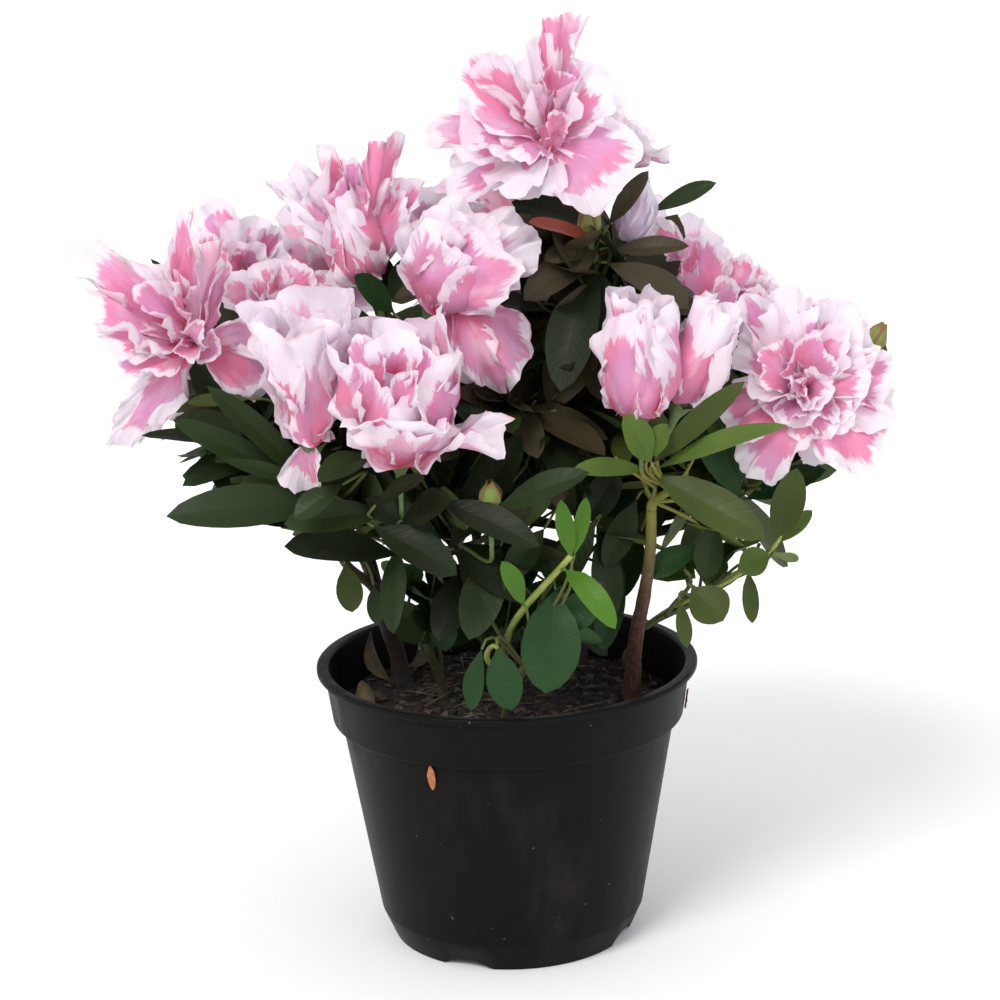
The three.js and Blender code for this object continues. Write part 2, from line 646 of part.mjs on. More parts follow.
// A mass: its stem, with the shoots that find room and the leaves on them
function massSolid(name, mass, stem) {
  const random = seeded(Object.keys(MASSES).indexOf(name) + 1);
  const pieces = [standing.find(({ node }) => node === name).body];
  shootTips(mass, random).forEach((tips, order) => {
    const found = tips
      .map((tip) => ({ tip, twig: twigLimb(stem, (order + 1) / mass.shoots, tip) }))
      .find(({ twig }) => isClear(twig, name));
    if (!found) return;
    pieces.push(stand(found.twig, name, order));
    for (const blades of shootLeaves(found.tip, mass.foot ? ROUND_LEAF : LONG_LEAF, random)) {
      const leaf = blades
        .filter((blade) => belongs(name, bladePoint(blade, 0.6, 0)))
        .map((blade) => bladeSolid(blade, KEELED, LEAF_STATIONS, LEAF_THICKNESS))
        .find((body) => isClear(body, name, order));
      if (leaf) pieces.push(stand(leaf, name, order));
    }
  });
  return fuse(pieces);
}

const azalea = new THREE.Group();
azalea.name = "azalea";
const groups = {};
for (const name of ["container", "limbs", "blossom", "foliage"]) {
  groups[name] = new THREE.Group();
  groups[name].name = name;
  azalea.add(groups[name]);
}
const origin = new THREE.Vector3();

addNode(groups.container, "pot", stand(potSolid(), "pot"), "plastic", origin);
addNode(groups.container, "compost", stand(compostSolid(), "compost"), "compost", origin);
for (const [name, stem] of Object.entries(STEMS)) {
  addNode(groups.limbs, name, stand(stemSolid(stem), name), "bark", stemCurve(stem).getPointAt(0));
}
for (const [name, bough] of Object.entries(BOUGHS)) {
  const curve = boughCurve(bough);
  const body = stand(limb(curve, BOUGH_RADII, 5, 5), name);
  addNode(groups.limbs, name, body, "bark", curve.getPointAt(0));
}
const stems = Object.entries(MASSES).map(([name, mass]) => {
  const stem = massStem(mass);
  stand(stemLimb(stem), name, "stem");
  return [name, mass, stem];
});
for (const [name, mass, stem] of stems) {
  const blooms = Object.values(BLOOMS).filter((bloom) => bloom.on === name);
  if (blooms.length === 0) continue;
  const spray = name.replace("leaves", "blossom");
  addNode(groups.blossom, spray, spraySolid(spray, mass, blooms), "petal", stem.curve.getPointAt(1));
}
for (const [name, mass, stem] of stems) {
  const body = massSolid(name, mass, stem);
  const finish = mass.foot ? "youngLeaf" : "leaf";
  addNode(groups.foliage, name, body, finish, stem.curve.getPointAt(0));
}

export default azalea;
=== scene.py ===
import json
import math

import bmesh
import bpy
from mathutils import Matrix, Vector, noise

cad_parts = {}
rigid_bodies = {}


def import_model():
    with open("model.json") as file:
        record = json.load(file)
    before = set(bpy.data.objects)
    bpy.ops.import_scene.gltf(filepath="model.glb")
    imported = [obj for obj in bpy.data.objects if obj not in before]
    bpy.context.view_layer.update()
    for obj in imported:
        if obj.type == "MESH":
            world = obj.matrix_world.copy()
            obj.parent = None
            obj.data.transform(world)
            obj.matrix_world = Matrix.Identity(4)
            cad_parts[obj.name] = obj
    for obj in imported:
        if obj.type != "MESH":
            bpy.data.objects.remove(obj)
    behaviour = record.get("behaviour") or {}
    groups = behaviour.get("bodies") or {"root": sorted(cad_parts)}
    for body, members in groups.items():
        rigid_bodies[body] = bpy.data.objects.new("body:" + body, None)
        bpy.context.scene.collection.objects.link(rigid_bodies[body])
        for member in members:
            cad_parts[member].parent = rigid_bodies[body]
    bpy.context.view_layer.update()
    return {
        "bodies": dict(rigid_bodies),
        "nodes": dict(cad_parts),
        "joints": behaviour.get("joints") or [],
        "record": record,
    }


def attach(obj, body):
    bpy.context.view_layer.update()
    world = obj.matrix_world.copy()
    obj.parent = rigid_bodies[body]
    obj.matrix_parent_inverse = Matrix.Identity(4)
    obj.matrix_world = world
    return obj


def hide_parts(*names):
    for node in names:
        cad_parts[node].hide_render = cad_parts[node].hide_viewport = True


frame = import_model()

# A pot azalea in bloom. Tables are in millimetres and degrees, and finished meshes in metres.
MM = 0.001
UP = Vector((0, 0, 1))

# Points of a mesh that are nearer than this are merged
MERGE = 0.01

# Pot
POT_HEIGHT = 97
RIM_RADIUS = 65
LIP_DEPTH = 2.2
BAND_TOP_RADIUS = 62.4
BAND_BOTTOM_RADIUS = 60
BAND_HEIGHT = 18.5
BODY_TOP_RADIUS = 57
BODY_BOTTOM_RADIUS = 45.4
FOOT_RADIUS = 41
FOOT_CHAMFER_HEIGHT = 10
FOOT_RING_WIDTH = 3.5
FOOT_RING_SLOPE = 0.8
POT_WALL = 1.6
POT_FLOOR = 2
POT_STEPS = 144
BAND_STEP = 1
LIP_SLOPE = 0.3
LIP_OUTER_CHAMFER = (0.8, 0.2)
LIP_INNER_CHAMFER = (0.6, 0.8)
CREASE_ANGLE = 12
EDGE_ROUNDING = 0.5
UNDERSIDE_RISE = 2
FOOT_NOTCHES = 4
NOTCH_WIDTH = 16
NOTCH_HEIGHT = 2.8
FIRST_NOTCH_TURN = -113
BAND_FOOT = POT_HEIGHT - BAND_HEIGHT
LIP_FOOT = POT_HEIGHT - LIP_DEPTH

# Compost. Its lumps are rows of breadth, height and layer of the noise
COMPOST_TOP = 84.5
COMPOST_HOLLOW = 1.6
COMPOST_EDGE_DROP = 2.5
COMPOST_RADIUS = 59
COMPOST_CLEARANCE = 0.5
COMPOST_FOOT_CLEARANCE = 1.1
COMPOST_BASE = 4.5
COMPOST_SHOULDER = 1.6
COMPOST_RINGS = 26
COMPOST_STEPS = 110
COMPOST_LUMPS = ((13, 1.8, 0), (4, 0.9, 9))

# Litter on the compost: how many, how far from the compost's edge, the greatest tilt, and the
# least and greatest of each measure
CRUMBS = 1500
CRUMB_MARGIN = 2.5
CRUMB_TILT = 60
CRUMB_SIZES = (0.5, 2.2)
CRUMB_STRETCHES = (0.8, 1.5)
CRUMB_FLATNESS = 0.75
CRUMB_ROUGHNESS = 0.35
CHIPS = 420
CHIP_MARGIN = 5
CHIP_TILT = 32
CHIP_LIFT = 0.4
CHIP_LENGTHS = (2, 8)
CHIP_WIDTHS = (0.7, 2.3)
CHIP_THICKNESSES = (0.4, 1.0)
CHIP_ROUGHNESS = 0.7
STRAWS = 30
STRAW_MARGINS = (12, 2)
STRAW_LIFT = 0.5
STRAW_END_LIFTS = (0.8, 2.8)
STRAW_LENGTHS = (7, 22)
STRAW_BEND = 60
STRAW_RISE = 20
STRAW_RADII = (0.22, 0.3, 0.14)

# Dry leaves on the compost: place, turn, tilt, size and bend. Petals stuck to the pot: turn, upper
# and lower height, and half width
FALLEN_LEAVES = [
    (-47, 22, 150, 34, 0.62, 60), (-49, -12, 60, 14, 0.42, 90), (50, -22, 20, 10, 0.4, 110),
    (40, -38, -60, 6, 0.36, 70), (-20, -42, 200, 10, 0.4, 95), (22, 30, 100, 12, 0.5, 80),
    (-30, 36, 20, 8, 0.45, 100), (4, 46, 300, 10, 0.4, 60), (44, 22, 240, 12, 0.42, 90),
]
DRY_LEAF = (34, 8)
DRY_LEAF_CUP = 0.5
DRY_LEAF_ROLL = 0.2
DRY_LEAF_WAVE = 0.8
STUCK_PETALS = [(-116.8, 77.2, 68.5, 1.5), (-7, 87, 80, 2.4)]
STUCK_PETAL_LEAST_LIFT = 0.15

# Petals
PETAL_COLUMNS = 44
PETAL_ROWS = 10
PETAL_ROW_SPACING = 0.75
PETAL_LOBES = 0.16
PETAL_TEETH = 0.05
PETAL_CRINKLE = 0.3
PETAL_LUMPS = 0.1
PETAL_RUFFLES = (0.045, 0.08)
CLOSED_RUFFLE = 0.6
PETAL_TWIST = 28
PLACED_TWIST = 12
PETAL_ROLL = 0.16
PETAL_STRAY = 8
PETAL_GROWTH = 0.1
PETAL_FACING = (0, -0.9, 0.44)
WRAP_FOOT = 3.5
WRAP_LAP = 0.05
BAKE_MARGIN = 0.04

# Stalks of blooms. Sepals are rows of length, half width and how far back on the flower tube
STALK_RADIUS = 0.8
STALK_LENGTH = 11
TUBE_LENGTH = 10
OPEN_TUBE_SINK = 3
BUD_TUBE_RADII = (1.2, 1.6)
BLOOM_TUBE_RADII = (1.7, 2.7)
BUD_SEPAL = (6.5, 1.9, 0.35)
BLOOM_SEPAL = (7.5, 2.2, 0.78)
SEPALS = 5
SEPAL_OPENING = 24
SEPAL_BEND = 18
SEPAL_CUP = 0.4
SEPAL_WAVE = 0.1
SEPAL_TURN = 17

# Stems rise from inside the compost to a fork: foot, fork, and the solid's radius at the foot and
# at the fork, of which a finer stem has these shares from its foot to its fork
STEMS = {
    "stem_main": ((-6, 17), (-5, 8, 116), (6, 5.2)),
    "stem_left": ((-37, 20), (-43, 8, 122), (5, 5)),
    "stem_right": ((42.3, -6.2), (48, -36, 158), (3.6, 2.1)),
    "stem_back": ((25, 34), (34, 32, 122), (4.8, 4.8)),
}
STEM_SHARES = (0.84, 0.6, 0.54, 0.5, 0.4)
STEM_FOOT = COMPOST_TOP - 3
RIGHT_STEM_RADII = (3.4, 2.7, 2.4, 2.2, 1.95, 1.75)
RIGHT_STEM_AGES = (0, 0, 0, 0.05, 0.3, 1)

# Boughs go on from a fork to the mass of leaves that they carry: stem, turn on the fork, tip
BOUGHS = {
    "bough_top": ("stem_main", 0, (24, 0, 205)),
    "bough_middle": ("stem_main", 180, (-4, -4, 172)),
    "bough_front": ("stem_main", 270, (-14, -26, 140)),
    "bough_back": ("stem_main", 90, (4, 38, 158)),
    "bough_left": ("stem_left", 185, (-62, 0, 164)),
    "bough_left_low": ("stem_left", 285, (-54, -10, 136)),
    "bough_back_left": ("stem_left", 80, (-54, 34, 152)),
    "bough_far_right": ("stem_back", 320, (74, 2, 150)),
    "bough_back_right": ("stem_back", 60, (54, 40, 152)),
}
BOUGH_RADIUS = 1.9
BOUGH_LIFT = 0.5
FORK_GAP = 0.3

# The finer boughs leave their stem at this share of its length, with these radii from root to tip
BOUGH_ROOT_SHARE = 0.8
BOUGH_SWELL = (2.4, 2.1, 1.9, 1.7, 1.6, 1.5)
BOUGH_AGES = (0, 0.05, 0.35)

# Relief of the bark, as shares of a limb's radius
BARK_RIDGES = 0.14
BARK_RINGS = 0.06

# Masses of leaves: what carries each or its foot in the compost, the middle and radii of its
# space, its count of shoots, and the leaf tones that its sprays are dealt
MASSES = {
    "leaves_top": ("bough_top", (32, -10, 222), (32, 28, 30), 7, ("brown", "brown", "deep")),
    "leaves_middle": ("bough_middle", (2, -18, 190), (34, 30, 28), 8, ("deep", "brown", "dark")),
    "leaves_left": ("bough_left", (-70, -8, 182), (40, 34, 20), 6, ("dark", "dark", "brown")),
    "leaves_left_low": ("bough_left_low", (-60, -24, 156), (44, 32, 18), 6, ("dark", "deep", "dark")),
    "leaves_front": ("bough_front", (-16, -46, 154), (40, 32, 26), 6, ("deep", "dark", "deep")),
    "leaves_right": ("stem_right", (55, -48, 170), (36, 30, 28), 6, ("olive", "olive", "dark")),
    "leaves_far_right": ("bough_far_right", (78, -6, 162), (22, 30, 26), 5, ("olive", "dark", "mid")),
    "leaves_back_left": ("bough_back_left", (-60, 50, 174), (44, 38, 40), 6, ("dark", "mid", "deep")),
    "leaves_back": ("bough_back", (4, 60, 188), (40, 34, 46), 6, ("dark", "deep", "mid")),
    "leaves_back_right": ("bough_back_right", (60, 48, 174), (42, 36, 40), 6, ("olive", "dark", "mid")),
    "leaves_low": ((-22, 0), (-30, -16, 120), (36, 32, 22), 5, ("mid", "dark", "dark")),
    "sprout_front": ((-2, -34), (8, -52, 122), (36, 26, 32), 5, ("mid", "mid", "dark")),
    "sprout_right": ((45, -24), (76, -28, 130), (36, 26, 28), 5, ("fresh", "fresh", "olive")),
}
SPACE_LIMIT = 1.3

# A mass's own stem, the axle, goes AXLE_SHARE of the way to the mass's middle, and its twigs leave
# it in TWIG_ZONE. Where the mass has blooms, a stem goes on from it, SPRAY_SHARE of the way to them
AXLE_RADII = {"foot": 1.8, "bough": 1.5, "stem": 1.75}
AXLE_TAPER = 0.7
AXLE_SHARE = 0.7
SPROUT_AXLE_SHARE = 0.6
TWIG_ZONE = (0.2, 0.8)
TWIG_ROOT_SHARE = 0.6
TWIG_TIP_RADIUS = 0.6
SPRAY_SHARE = 0.4

# The low branch at the right leaves the side of the right stem
SIDE_BRANCH_SHARE = 0.36
SIDE_BRANCH_AIM = (-15, 35)

# Age of the wood, from old bark, 0, to green shoot, 1
OLD_WOOD = (0, 0)
GREEN_WOOD = (1, 1)
AXLE_AGE = 0.3
SPROUT_AGE = 0.6
AXLE_AGE_RISE = 0.2
TWIG_TIP_AGE = 0.95
SPRAY_AGES = (0.3, 0.5)
BLOOM_TWIG_AGES = (0.5, 0.9)
LEAF_STALK_AGES = (0.5, 1)

# Shoots end this far out in their mass's space, and turn upwards. Each has finer side shoots
SHOOT_REACH = (0.45, 0.6)
SHOOT_LIFT = 0.35
SHOOT_RISES = (0.75, 0.1)
SIDE_SHOOT_PLACES = (0.3, 0.65)
SIDE_SHOOT_REACH = (0.4, 0.75)
SIDE_SHOOT_TURN = 110
SIDE_SHOOT_STRAY = 90
SIDE_SHOOT_OPENING = 55
SIDE_SHOOT_TIP_RADIUS = 0.45

# Leaves stand in a spiral
LONG_LEAF = (43, 7.6)
ROUND_LEAF = (27, 8.2)
LEAVES_ON_SHOOT = 7
LEAVES_ON_SIDE_SHOOT = 5
LEAST_LEAVES = 2
LEAF_SPACING = 2.2
LEAF_SIZES = (0.68, 1.05)
LEAF_OPENING = (48, 66)
LEAF_OPENING_STEP = 7
LEAF_BENDS = (-8, 30)
LEAF_CUP = 0.2
LEAF_DROOP = 0.8
LEAF_ROWS = 8
LEAF_ROW_SPACING = 0.62
LEAF_ACROSS = (-1, -0.5, -0.06, 0.06, 0.5, 1)
LEAF_WAVE = 0.5
LEAF_GROOVE = 0.06
LEAST_BEND = 0.001
GOLDEN_TURN = 137.5

# Leaves that stand out by themselves: mass, tone, root, tip, half width and sag in degrees
SHOWN_LEAVES = [
    ("leaves_left_low", "dark", (-55, -50, 168), (-92, -58, 208), 4.4, 10),
    ("leaves_left", "olive", (-81, -30, 197), (-101, -34, 197), 2.6, 10),
    ("leaves_left", "dark", (-77, -34, 186), (-100, -40, 195), 3.2, 10),
    ("leaves_left_low", "dark", (-60, -44, 169), (-104, -52, 196), 4.6, 14),
    ("leaves_left_low", "deep", (-85, -30, 183), (-116, -36, 187), 3.4, 16),
    ("leaves_left_low", "dark", (-58, -56, 173), (-88, -62, 185), 2.8, 12),
    ("leaves_left_low", "dark", (-53, -56, 168), (-106, -66, 168), 7.3, 26),
    ("leaves_left_low", "dark", (-37, -60, 166), (-69, -68, 165), 5.6, 24),
    ("leaves_left_low", "deep", (-34, -50, 149), (-70, -58, 155), 6.2, 30),
    ("leaves_left_low", "olive", (-52, -38, 143), (-50, -40, 127), 4.4, 12),
    ("leaves_left_low", "dark", (-43, -36, 135), (-42, -38, 122), 3.0, 10),
    ("leaves_front", "deep", (-41, -66, 163), (-15, -78, 150), 6.6, 30),
    ("leaves_front", "dark", (-41, -64, 186), (-57, -78, 181), 5.6, 30),
    ("leaves_front", "deep", (-40, -70, 171), (-24, -80, 182), 5.0, 16),
    ("leaves_left_low", "dark", (-50, -70, 178), (-65, -76, 169), 4.6, 16),
    ("leaves_middle", "mid", (-34, -20, 222), (-46, -26, 236), 4.6, 14),
    ("leaves_middle", "dark", (-35, -14, 225), (-29, -18, 240), 3.6, 10),
    ("leaves_middle", "brown", (-35, -16, 225), (-22, -20, 230), 3.8, 12),
    ("leaves_left", "brown", (-80, 0, 212), (-96, 4, 224), 5.0, 12),
    ("leaves_right", "deep", (39, -24, 170), (27, -30, 153), 5.6, 16),
    ("leaves_right", "dark", (46, -10, 144), (38, -16, 122), 5.6, 18),
    ("leaves_far_right", "olive", (119, -6, 208), (127, -10, 200), 4.0, 20),
    ("leaves_low", "mid", (-22, -30, 125), (-20, -34, 111), 4.6, 14),
    ("leaves_top", "deep", (33, -8, 247), (5, -12, 256), 5.6, 14),
    ("leaves_top", "deep", (33, -6, 246), (14, -10, 246), 5.0, 14),
    ("leaves_front", "deep", (6, -40, 184), (-15, -44, 196), 4.4, 16),
    ("leaves_middle", "deep", (19, -34, 184), (-10, -46, 192), 4.6, 16),
    ("leaves_front", "dark", (-3, -66, 167), (27, -74, 181), 5.0, 20),
    ("leaves_front", "deep", (-20, -62, 170), (11, -76, 158), 5.6, 20),
    ("leaves_right", "fresh", (46, -48, 175), (22, -66, 180), 3.4, 18),
    ("leaves_right", "olive", (48, -52, 174), (82, -70, 157), 6.9, 24),
    ("leaves_right", "fresh", (49, -52, 176), (88, -80, 196), 3.8, 22),
    ("leaves_right", "olive", (48, -56, 179), (76, -66, 207), 4.0, 14),
    ("sprout_right", "olive", (89, -34, 145), (95, -40, 172), 5.5, 8),
    ("sprout_right", "fresh", (89, -34, 145), (101, -30, 155), 2.8, 8),
    ("leaves_right", "dark", (69, -30, 152), (66, -32, 133), 5.0, 8),
    ("leaves_right", "mid", (64, -26, 143), (47, -30, 134), 4.6, 20),
    ("sprout_right", "olive", (61, -34, 131), (71, -40, 121), 7.0, 26),
    ("sprout_right", "olive", (80, -30, 135), (81, -34, 118), 2.8, 6),
    ("sprout_right", "fresh", (76, -34, 136), (86, -38, 143), 4.8, 12),
    ("sprout_right", "olive", (57, -36, 127), (59, -40, 112), 2.6, 8),
    ("sprout_front", "bright", (21, -66, 151), (18, -72, 172), 3.0, 6),
    ("sprout_front", "bright", (22, -66, 152), (26, -70, 172), 2.7, 8),
    ("sprout_front", "bright", (6, -66, 136), (-1, -74, 153), 3.4, 20),
    ("sprout_front", "bright", (19, -68, 148), (34, -84, 133), 4.0, 95),
    ("sprout_front", "mid", (16, -56, 138), (12, -68, 107), 9.6, 26),
    ("sprout_front", "mid", (30, -50, 136), (19, -56, 124), 5.8, 20),
    ("sprout_front", "mid", (-8, -64, 121), (-12, -66, 101), 3.6, 20),
    ("sprout_front", "mid", (-3, -66, 122), (1, -72, 103), 5.7, 26),
    ("leaves_low", "dark", (-1, -46, 150), (-12, -60, 123), 7.0, 20),
    ("leaves_low", "dark", (13, -48, 156), (0, -56, 141), 4.8, 20),
    ("sprout_front", "dark", (30, -38, 156), (14, -44, 132), 6.0, 16),
    ("sprout_front", "deep", (20, -24, 142), (19, -30, 116), 6.6, 16),
    ("sprout_front", "dark", (32, -20, 148), (34, -30, 118), 5.4, 18),
    ("sprout_front", "deep", (8, -20, 130), (24, -24, 104), 6.0, 18),
    ("sprout_front", "mid", (38, -14, 140), (32, -24, 106), 5.0, 18),
    ("leaves_right", "dark", (44, -22, 158), (33, -26, 136), 4.8, 16),
    ("sprout_front", "dark", (14, -14, 128), (34, -10, 100), 5.0, 20),
    ("leaves_low", "deep", (-12, -30, 138), (-22, -46, 118), 6.4, 20),
    ("leaves_low", "dark", (-16, -30, 140), (-4, -44, 116), 5.4, 20),
    ("leaves_top", "dark", (50, -14, 252), (71, -20, 262), 3.2, 16),
    ("leaves_top", "brown", (36, -20, 249), (49, -24, 267), 3.2, 10),
    ("leaves_top", "brown", (33, -24, 242), (8, -40, 229), 6.2, 24),
    ("leaves_top", "deep", (31, -26, 238), (19, -48, 201), 8.2, 30),
    ("leaves_top", "brown", (35, -26, 238), (60, -46, 226), 6.5, 34),
    ("leaves_top", "red", (33, -24, 245), (10, -40, 254), 4.4, 10),
    ("leaves_top", "brown", (37, -16, 240), (62, -22, 242), 3.6, 14),
    ("leaves_top", "deep", (32, -20, 235), (38, -36, 205), 6.6, 30),
    ("leaves_top", "brown", (30, -20, 241), (15, -36, 241), 4.3, 14),
    ("leaves_left", "dark", (-92, -8, 215), (-113, -10, 240), 2.4, 8),
    ("leaves_middle", "deep", (-36, -6, 223), (-40, -6, 240), 5.0, 10),
    ("leaves_right", "fresh", (47, -60, 180), (38, -66, 197), 5.4, 20),
    ("leaves_right", "fresh", (46, -58, 181), (52, -62, 193), 3.6, 16),
    ("leaves_front", "deep", (-32, -66, 165), (-16, -74, 173), 6.4, 20),
]
SHOWN_LEAF_FACING = (0, -0.72, 0.69)
SHOWN_LEAF_SWAY = 0.5
SHOWN_LEAF_STALK = (0.75, 0.45)
SHOWN_LEAF_STALK_LIFT = 0.3

# Spaces without leaves, where sky, compost and bare stems show: x, z and radius of tunnels that
# run through the crown from the front, square to the slope at which the photograph looks down
OPEN_SPACES = [
    (-100, 110, 38), (-132, 124, 26), (-126, 160, 13), (-58, 104, 14), (-72, 118, 18),
    (-36, 86, 17), (-20, 88, 14), (113, 99, 30), (118, 128, 15), (78, 86, 17), (62, 84, 14),
    (61, 119, 7), (50, 112, 6), (104, 152, 8), (94, 111, 15), (80, 126, 7), (66, 104, 9),
    (-70, 124, 9), (-60, 117, 9), (-46, 128, 6), (-41, 115, 4), (-28, 117, 3.5),
    (-54, 124, 6), (-47, 119, 5), (67, 233, 12),
]
VIEW_SLOPE = -15

# The right stem is kept bare of dealt leaves: how far to its side, up it and behind it
BARE_STEM_SIDE = 8
BARE_STEM_HEIGHTS = (90, 178)
BARE_STEM_BEHIND = 4

# How low a dealt leaf's tip hangs, and how far forward, along -Y, the dealt leaves of a mass come
LOWEST_LEAF_TIP = 112
FRONT_LIMITS = {
    "sprout_front": -50, "leaves_right": -46, "leaves_front": -64, "leaves_left_low": -54,
    "leaves_low": -42, "sprout_right": -28, "leaves_far_right": -26,
}

# Green shoots that stand out by themselves: foot, its aim, tip, its aim, and radii
SHOWN_SHOOTS = [
    ((-1, -38, 98), (-0.1, -0.2, 1), (21, -66, 152), (0.6, -0.3, 0.8), (1.5, 1.0)),
    ((-5, -52, 112), (-0.5, -0.6, 0.5), (-3, -66, 122), (0.2, -0.9, -0.1), (1.0, 0.7)),
    ((47, -10, 110), (0.6, -0.5, 0.7), (89, -34, 145), (0.7, 0, 0.7), (1.1, 0.7)),
    ((88, -34, 144), (0.6, 0, 0.8), (95, -37, 160), (0.2, 0, 1), (0.7, 0.5)),
]

# Leaves keep out of balls round the blooms and round the petals that hang beside their bloom. A
# bloom's ball has its middle and radius at these shares of how far its petals reach
BALL_MIDDLE = 0.4
BALL_RADIUS = 0.62
OPEN_PETAL_REACH = 0.9
PLACED_PETAL_REACH = 0.8
HANGING_PETALS = [((2, -40, 212), 15), ((-60, -66, 186), 10), ((-118, -30, 188), 14), ((-82, -24, 206), 14)]
LEAF_TEST_SHARES = (0.25, 0.6, 1.0)

# Repeatable numbers from 0 to 1, by a linear congruence. The roughness of the litter is noise with
# a seed too
CONGRUENCE = (1664525, 1013904223, 2 ** 32)
SEED_SPREAD = 7919
LITTER_NOISE_SEED = 7
FIRST_MASS_SEED = 1
FIRST_BOUGH_SEED = 9
SHOWN_LEAF_SEED = 77
CRUMB_SEED = 101
CHIP_SEED = 102
STRAW_SEED = 103
FIRST_BLOOM_SEED = 200


def seeded(seed):
    factor, step, size = CONGRUENCE
    state = seed * SEED_SPREAD

    def draw():
        nonlocal state
        state = (state * factor + step) % size
        return state / size

    return draw


def between(pair, share):
    return pair[0] + (pair[1] - pair[0]) * share


def along_row(row, share):
    """The value at a share of the way along a row of values at even steps."""
    place = min(max(share, 0), 1) * (len(row) - 1)
    low = min(int(place), len(row) - 2)
    return between(row[low:low + 2], place - low)


def smooth(low, high, value):
    """0 below low, 1 above high, and an even rise between."""
    share = min(max((value - low) / (high - low), 0), 1)
    return share * share * (3 - 2 * share)


def direction(turn, rise):
    """A direction from a turn about Z and a rise above level."""
    turn, rise = math.radians(turn), math.radians(rise)
    flat = math.cos(rise)
    return Vector((flat * math.cos(turn), flat * math.sin(turn), math.sin(rise)))


def lean(axis, towards, angle):
    """The direction that leans from one axis towards another, square to it, by an angle."""
    return axis * math.cos(angle) + towards * math.sin(angle)


def square_to(vector, axis):
    """The part of a vector that is square to an axis, at unit length."""
    return (vector - axis * vector.dot(axis)).normalized()


class Sweep:
    """A curve that leaves one end along a direction and reaches the other end along another."""

    REACH = 0.4
    SAMPLES = 32
    NEAR = 0.02

    def __init__(self, start, start_aim, end, end_aim):
        reach = (end - start).length * self.REACH
        self.knots = (start, start + start_aim * reach, end - end_aim * reach, end)
        self.points = [self.bezier(i / self.SAMPLES) for i in range(self.SAMPLES + 1)]
        self.lengths = [0]
        for last, here in zip(self.points, self.points[1:]):
            self.lengths.append(self.lengths[-1] + (here - last).length)
        self.length = self.lengths[-1]

    def bezier(self, t):
        a, b, c, d = self.knots
        s = 1 - t
        return a * s ** 3 + b * (3 * s * s * t) + c * (3 * s * t * t) + d * t ** 3

    def at(self, share):
        """The point at a share of the curve's length."""
        goal = min(max(share, 0), 1) * self.length
        i = next((k for k in range(1, len(self.lengths)) if self.lengths[k] >= goal), len(self.lengths) - 1)
        span = self.lengths[i] - self.lengths[i - 1]
        return self.points[i - 1].lerp(self.points[i], (goal - self.lengths[i - 1]) / max(span, 1e-9))

    def aim(self, share):
        return (self.at(min(share + self.NEAR, 1)) - self.at(max(share - self.NEAR, 0))).normalized()

    def frames(self, shares):
        """Centre, aim and two square directions at each share, carried along without twisting."""
        found = []
        side = None
        for share in shares:
            aim = self.aim(share)
            hint = side if side else Vector((1, 0, 0)) if abs(aim.x) < 0.7 else UP
            side = square_to(hint, aim)
            found.append((self.at(share), aim, side, aim.cross(side)))
        return found


# Mesh making
def new_mesh(*layers):
    """An empty mesh with the layers that its pieces need: age of wood, place on a sheet, petals."""
    bm = bmesh.new()
    if "wood" in layers:
        bm.verts.layers.float.new("age")
    if "sheet" in layers:
        bm.loops.layers.uv.new("place")
    if "petal" in layers:
        bm.loops.layers.uv.new("OFBake")
        bm.verts.layers.float_vector.new("traits")
    return bm


def add_limb(bm, curve, radii, sides, steps, ages=OLD_WOOD, relief=None):
    """A round tapering limb: a grid rolled round a curve, with closed ends.

    relief gives a share of the radius to add at a length along the curve and a turn round it.
    """
    age = bm.verts.layers.float["age"]
    shares = [0] + [i / steps for i in range(steps + 1)] + [1]
    frames = curve.frames(shares)
    verts = bmesh.ops.create_grid(bm, x_segments=steps + 2, y_segments=sides, size=1)["verts"]
    for vert in verts:
        i = round((vert.co.x + 1) / 2 * (steps + 2))
        turn = (vert.co.y + 1) * math.pi
        share = shares[i]
        centre, _, side, third = frames[i]
        radius = along_row(radii, share) if 0 < i < steps + 2 else 0
        if relief:
            radius *= 1 + relief(share * curve.length, turn)
        vert[age] = along_row(ages, share)
        vert.co = centre + (side * math.cos(turn) + third * math.sin(turn)) * radius
    bmesh.ops.remove_doubles(bm, verts=verts, dist=MERGE)


def add_sheet(bm, surface, columns, rows, spacing=1.0, cell=None, traits=None):
    """A thin sheet: a grid laid on a surface, with its place along and across kept as a map."""
    place = bm.loops.layers.uv["place"]
    verts = bmesh.ops.create_grid(bm, x_segments=columns, y_segments=rows, size=1)["verts"]
    faces = list({face for vert in verts for face in vert.link_faces})
    shares = {}
    for vert in verts:
        across, along = -vert.co.x, max((vert.co.y + 1) / 2, 0) ** spacing
        shares[vert] = (across, along)
    for face in faces:
        for loop in face.loops:
            across, along = shares[loop.vert]
            loop[place].uv = (across / 2 + 0.5, along)
    if cell:
        lay_in_cell(bm, faces, shares, cell)
    if traits:
        marks = bm.verts.layers.float_vector["traits"]
        for vert in verts:
            vert[marks] = traits
    for vert in verts:
        across, along = shares[vert]
        vert.co = surface(along, across)
    bmesh.ops.remove_doubles(bm, verts=verts, dist=MERGE)


def lay_in_cell(bm, faces, shares, cell):
    """Gives a sheet a square of its own on the piece's bake map."""
    bake = bm.loops.layers.uv["OFBake"]
    index, side = cell
    column, row = index % side, index // side
    for face in faces:
        for loop in face.loops:
            across, along = shares[loop.vert]
            u = between((BAKE_MARGIN, 1 - BAKE_MARGIN), across / 2 + 0.5)
            v = between((BAKE_MARGIN, 1 - BAKE_MARGIN), along)
            loop[bake].uv = ((column + u) / side, (row + v) / side)


def in_scene(name, data):
    """A new object of the scene that shows a mesh, a camera or a light."""
    thing = bpy.data.objects.new(name, data)
    bpy.context.scene.collection.objects.link(thing)
    return thing


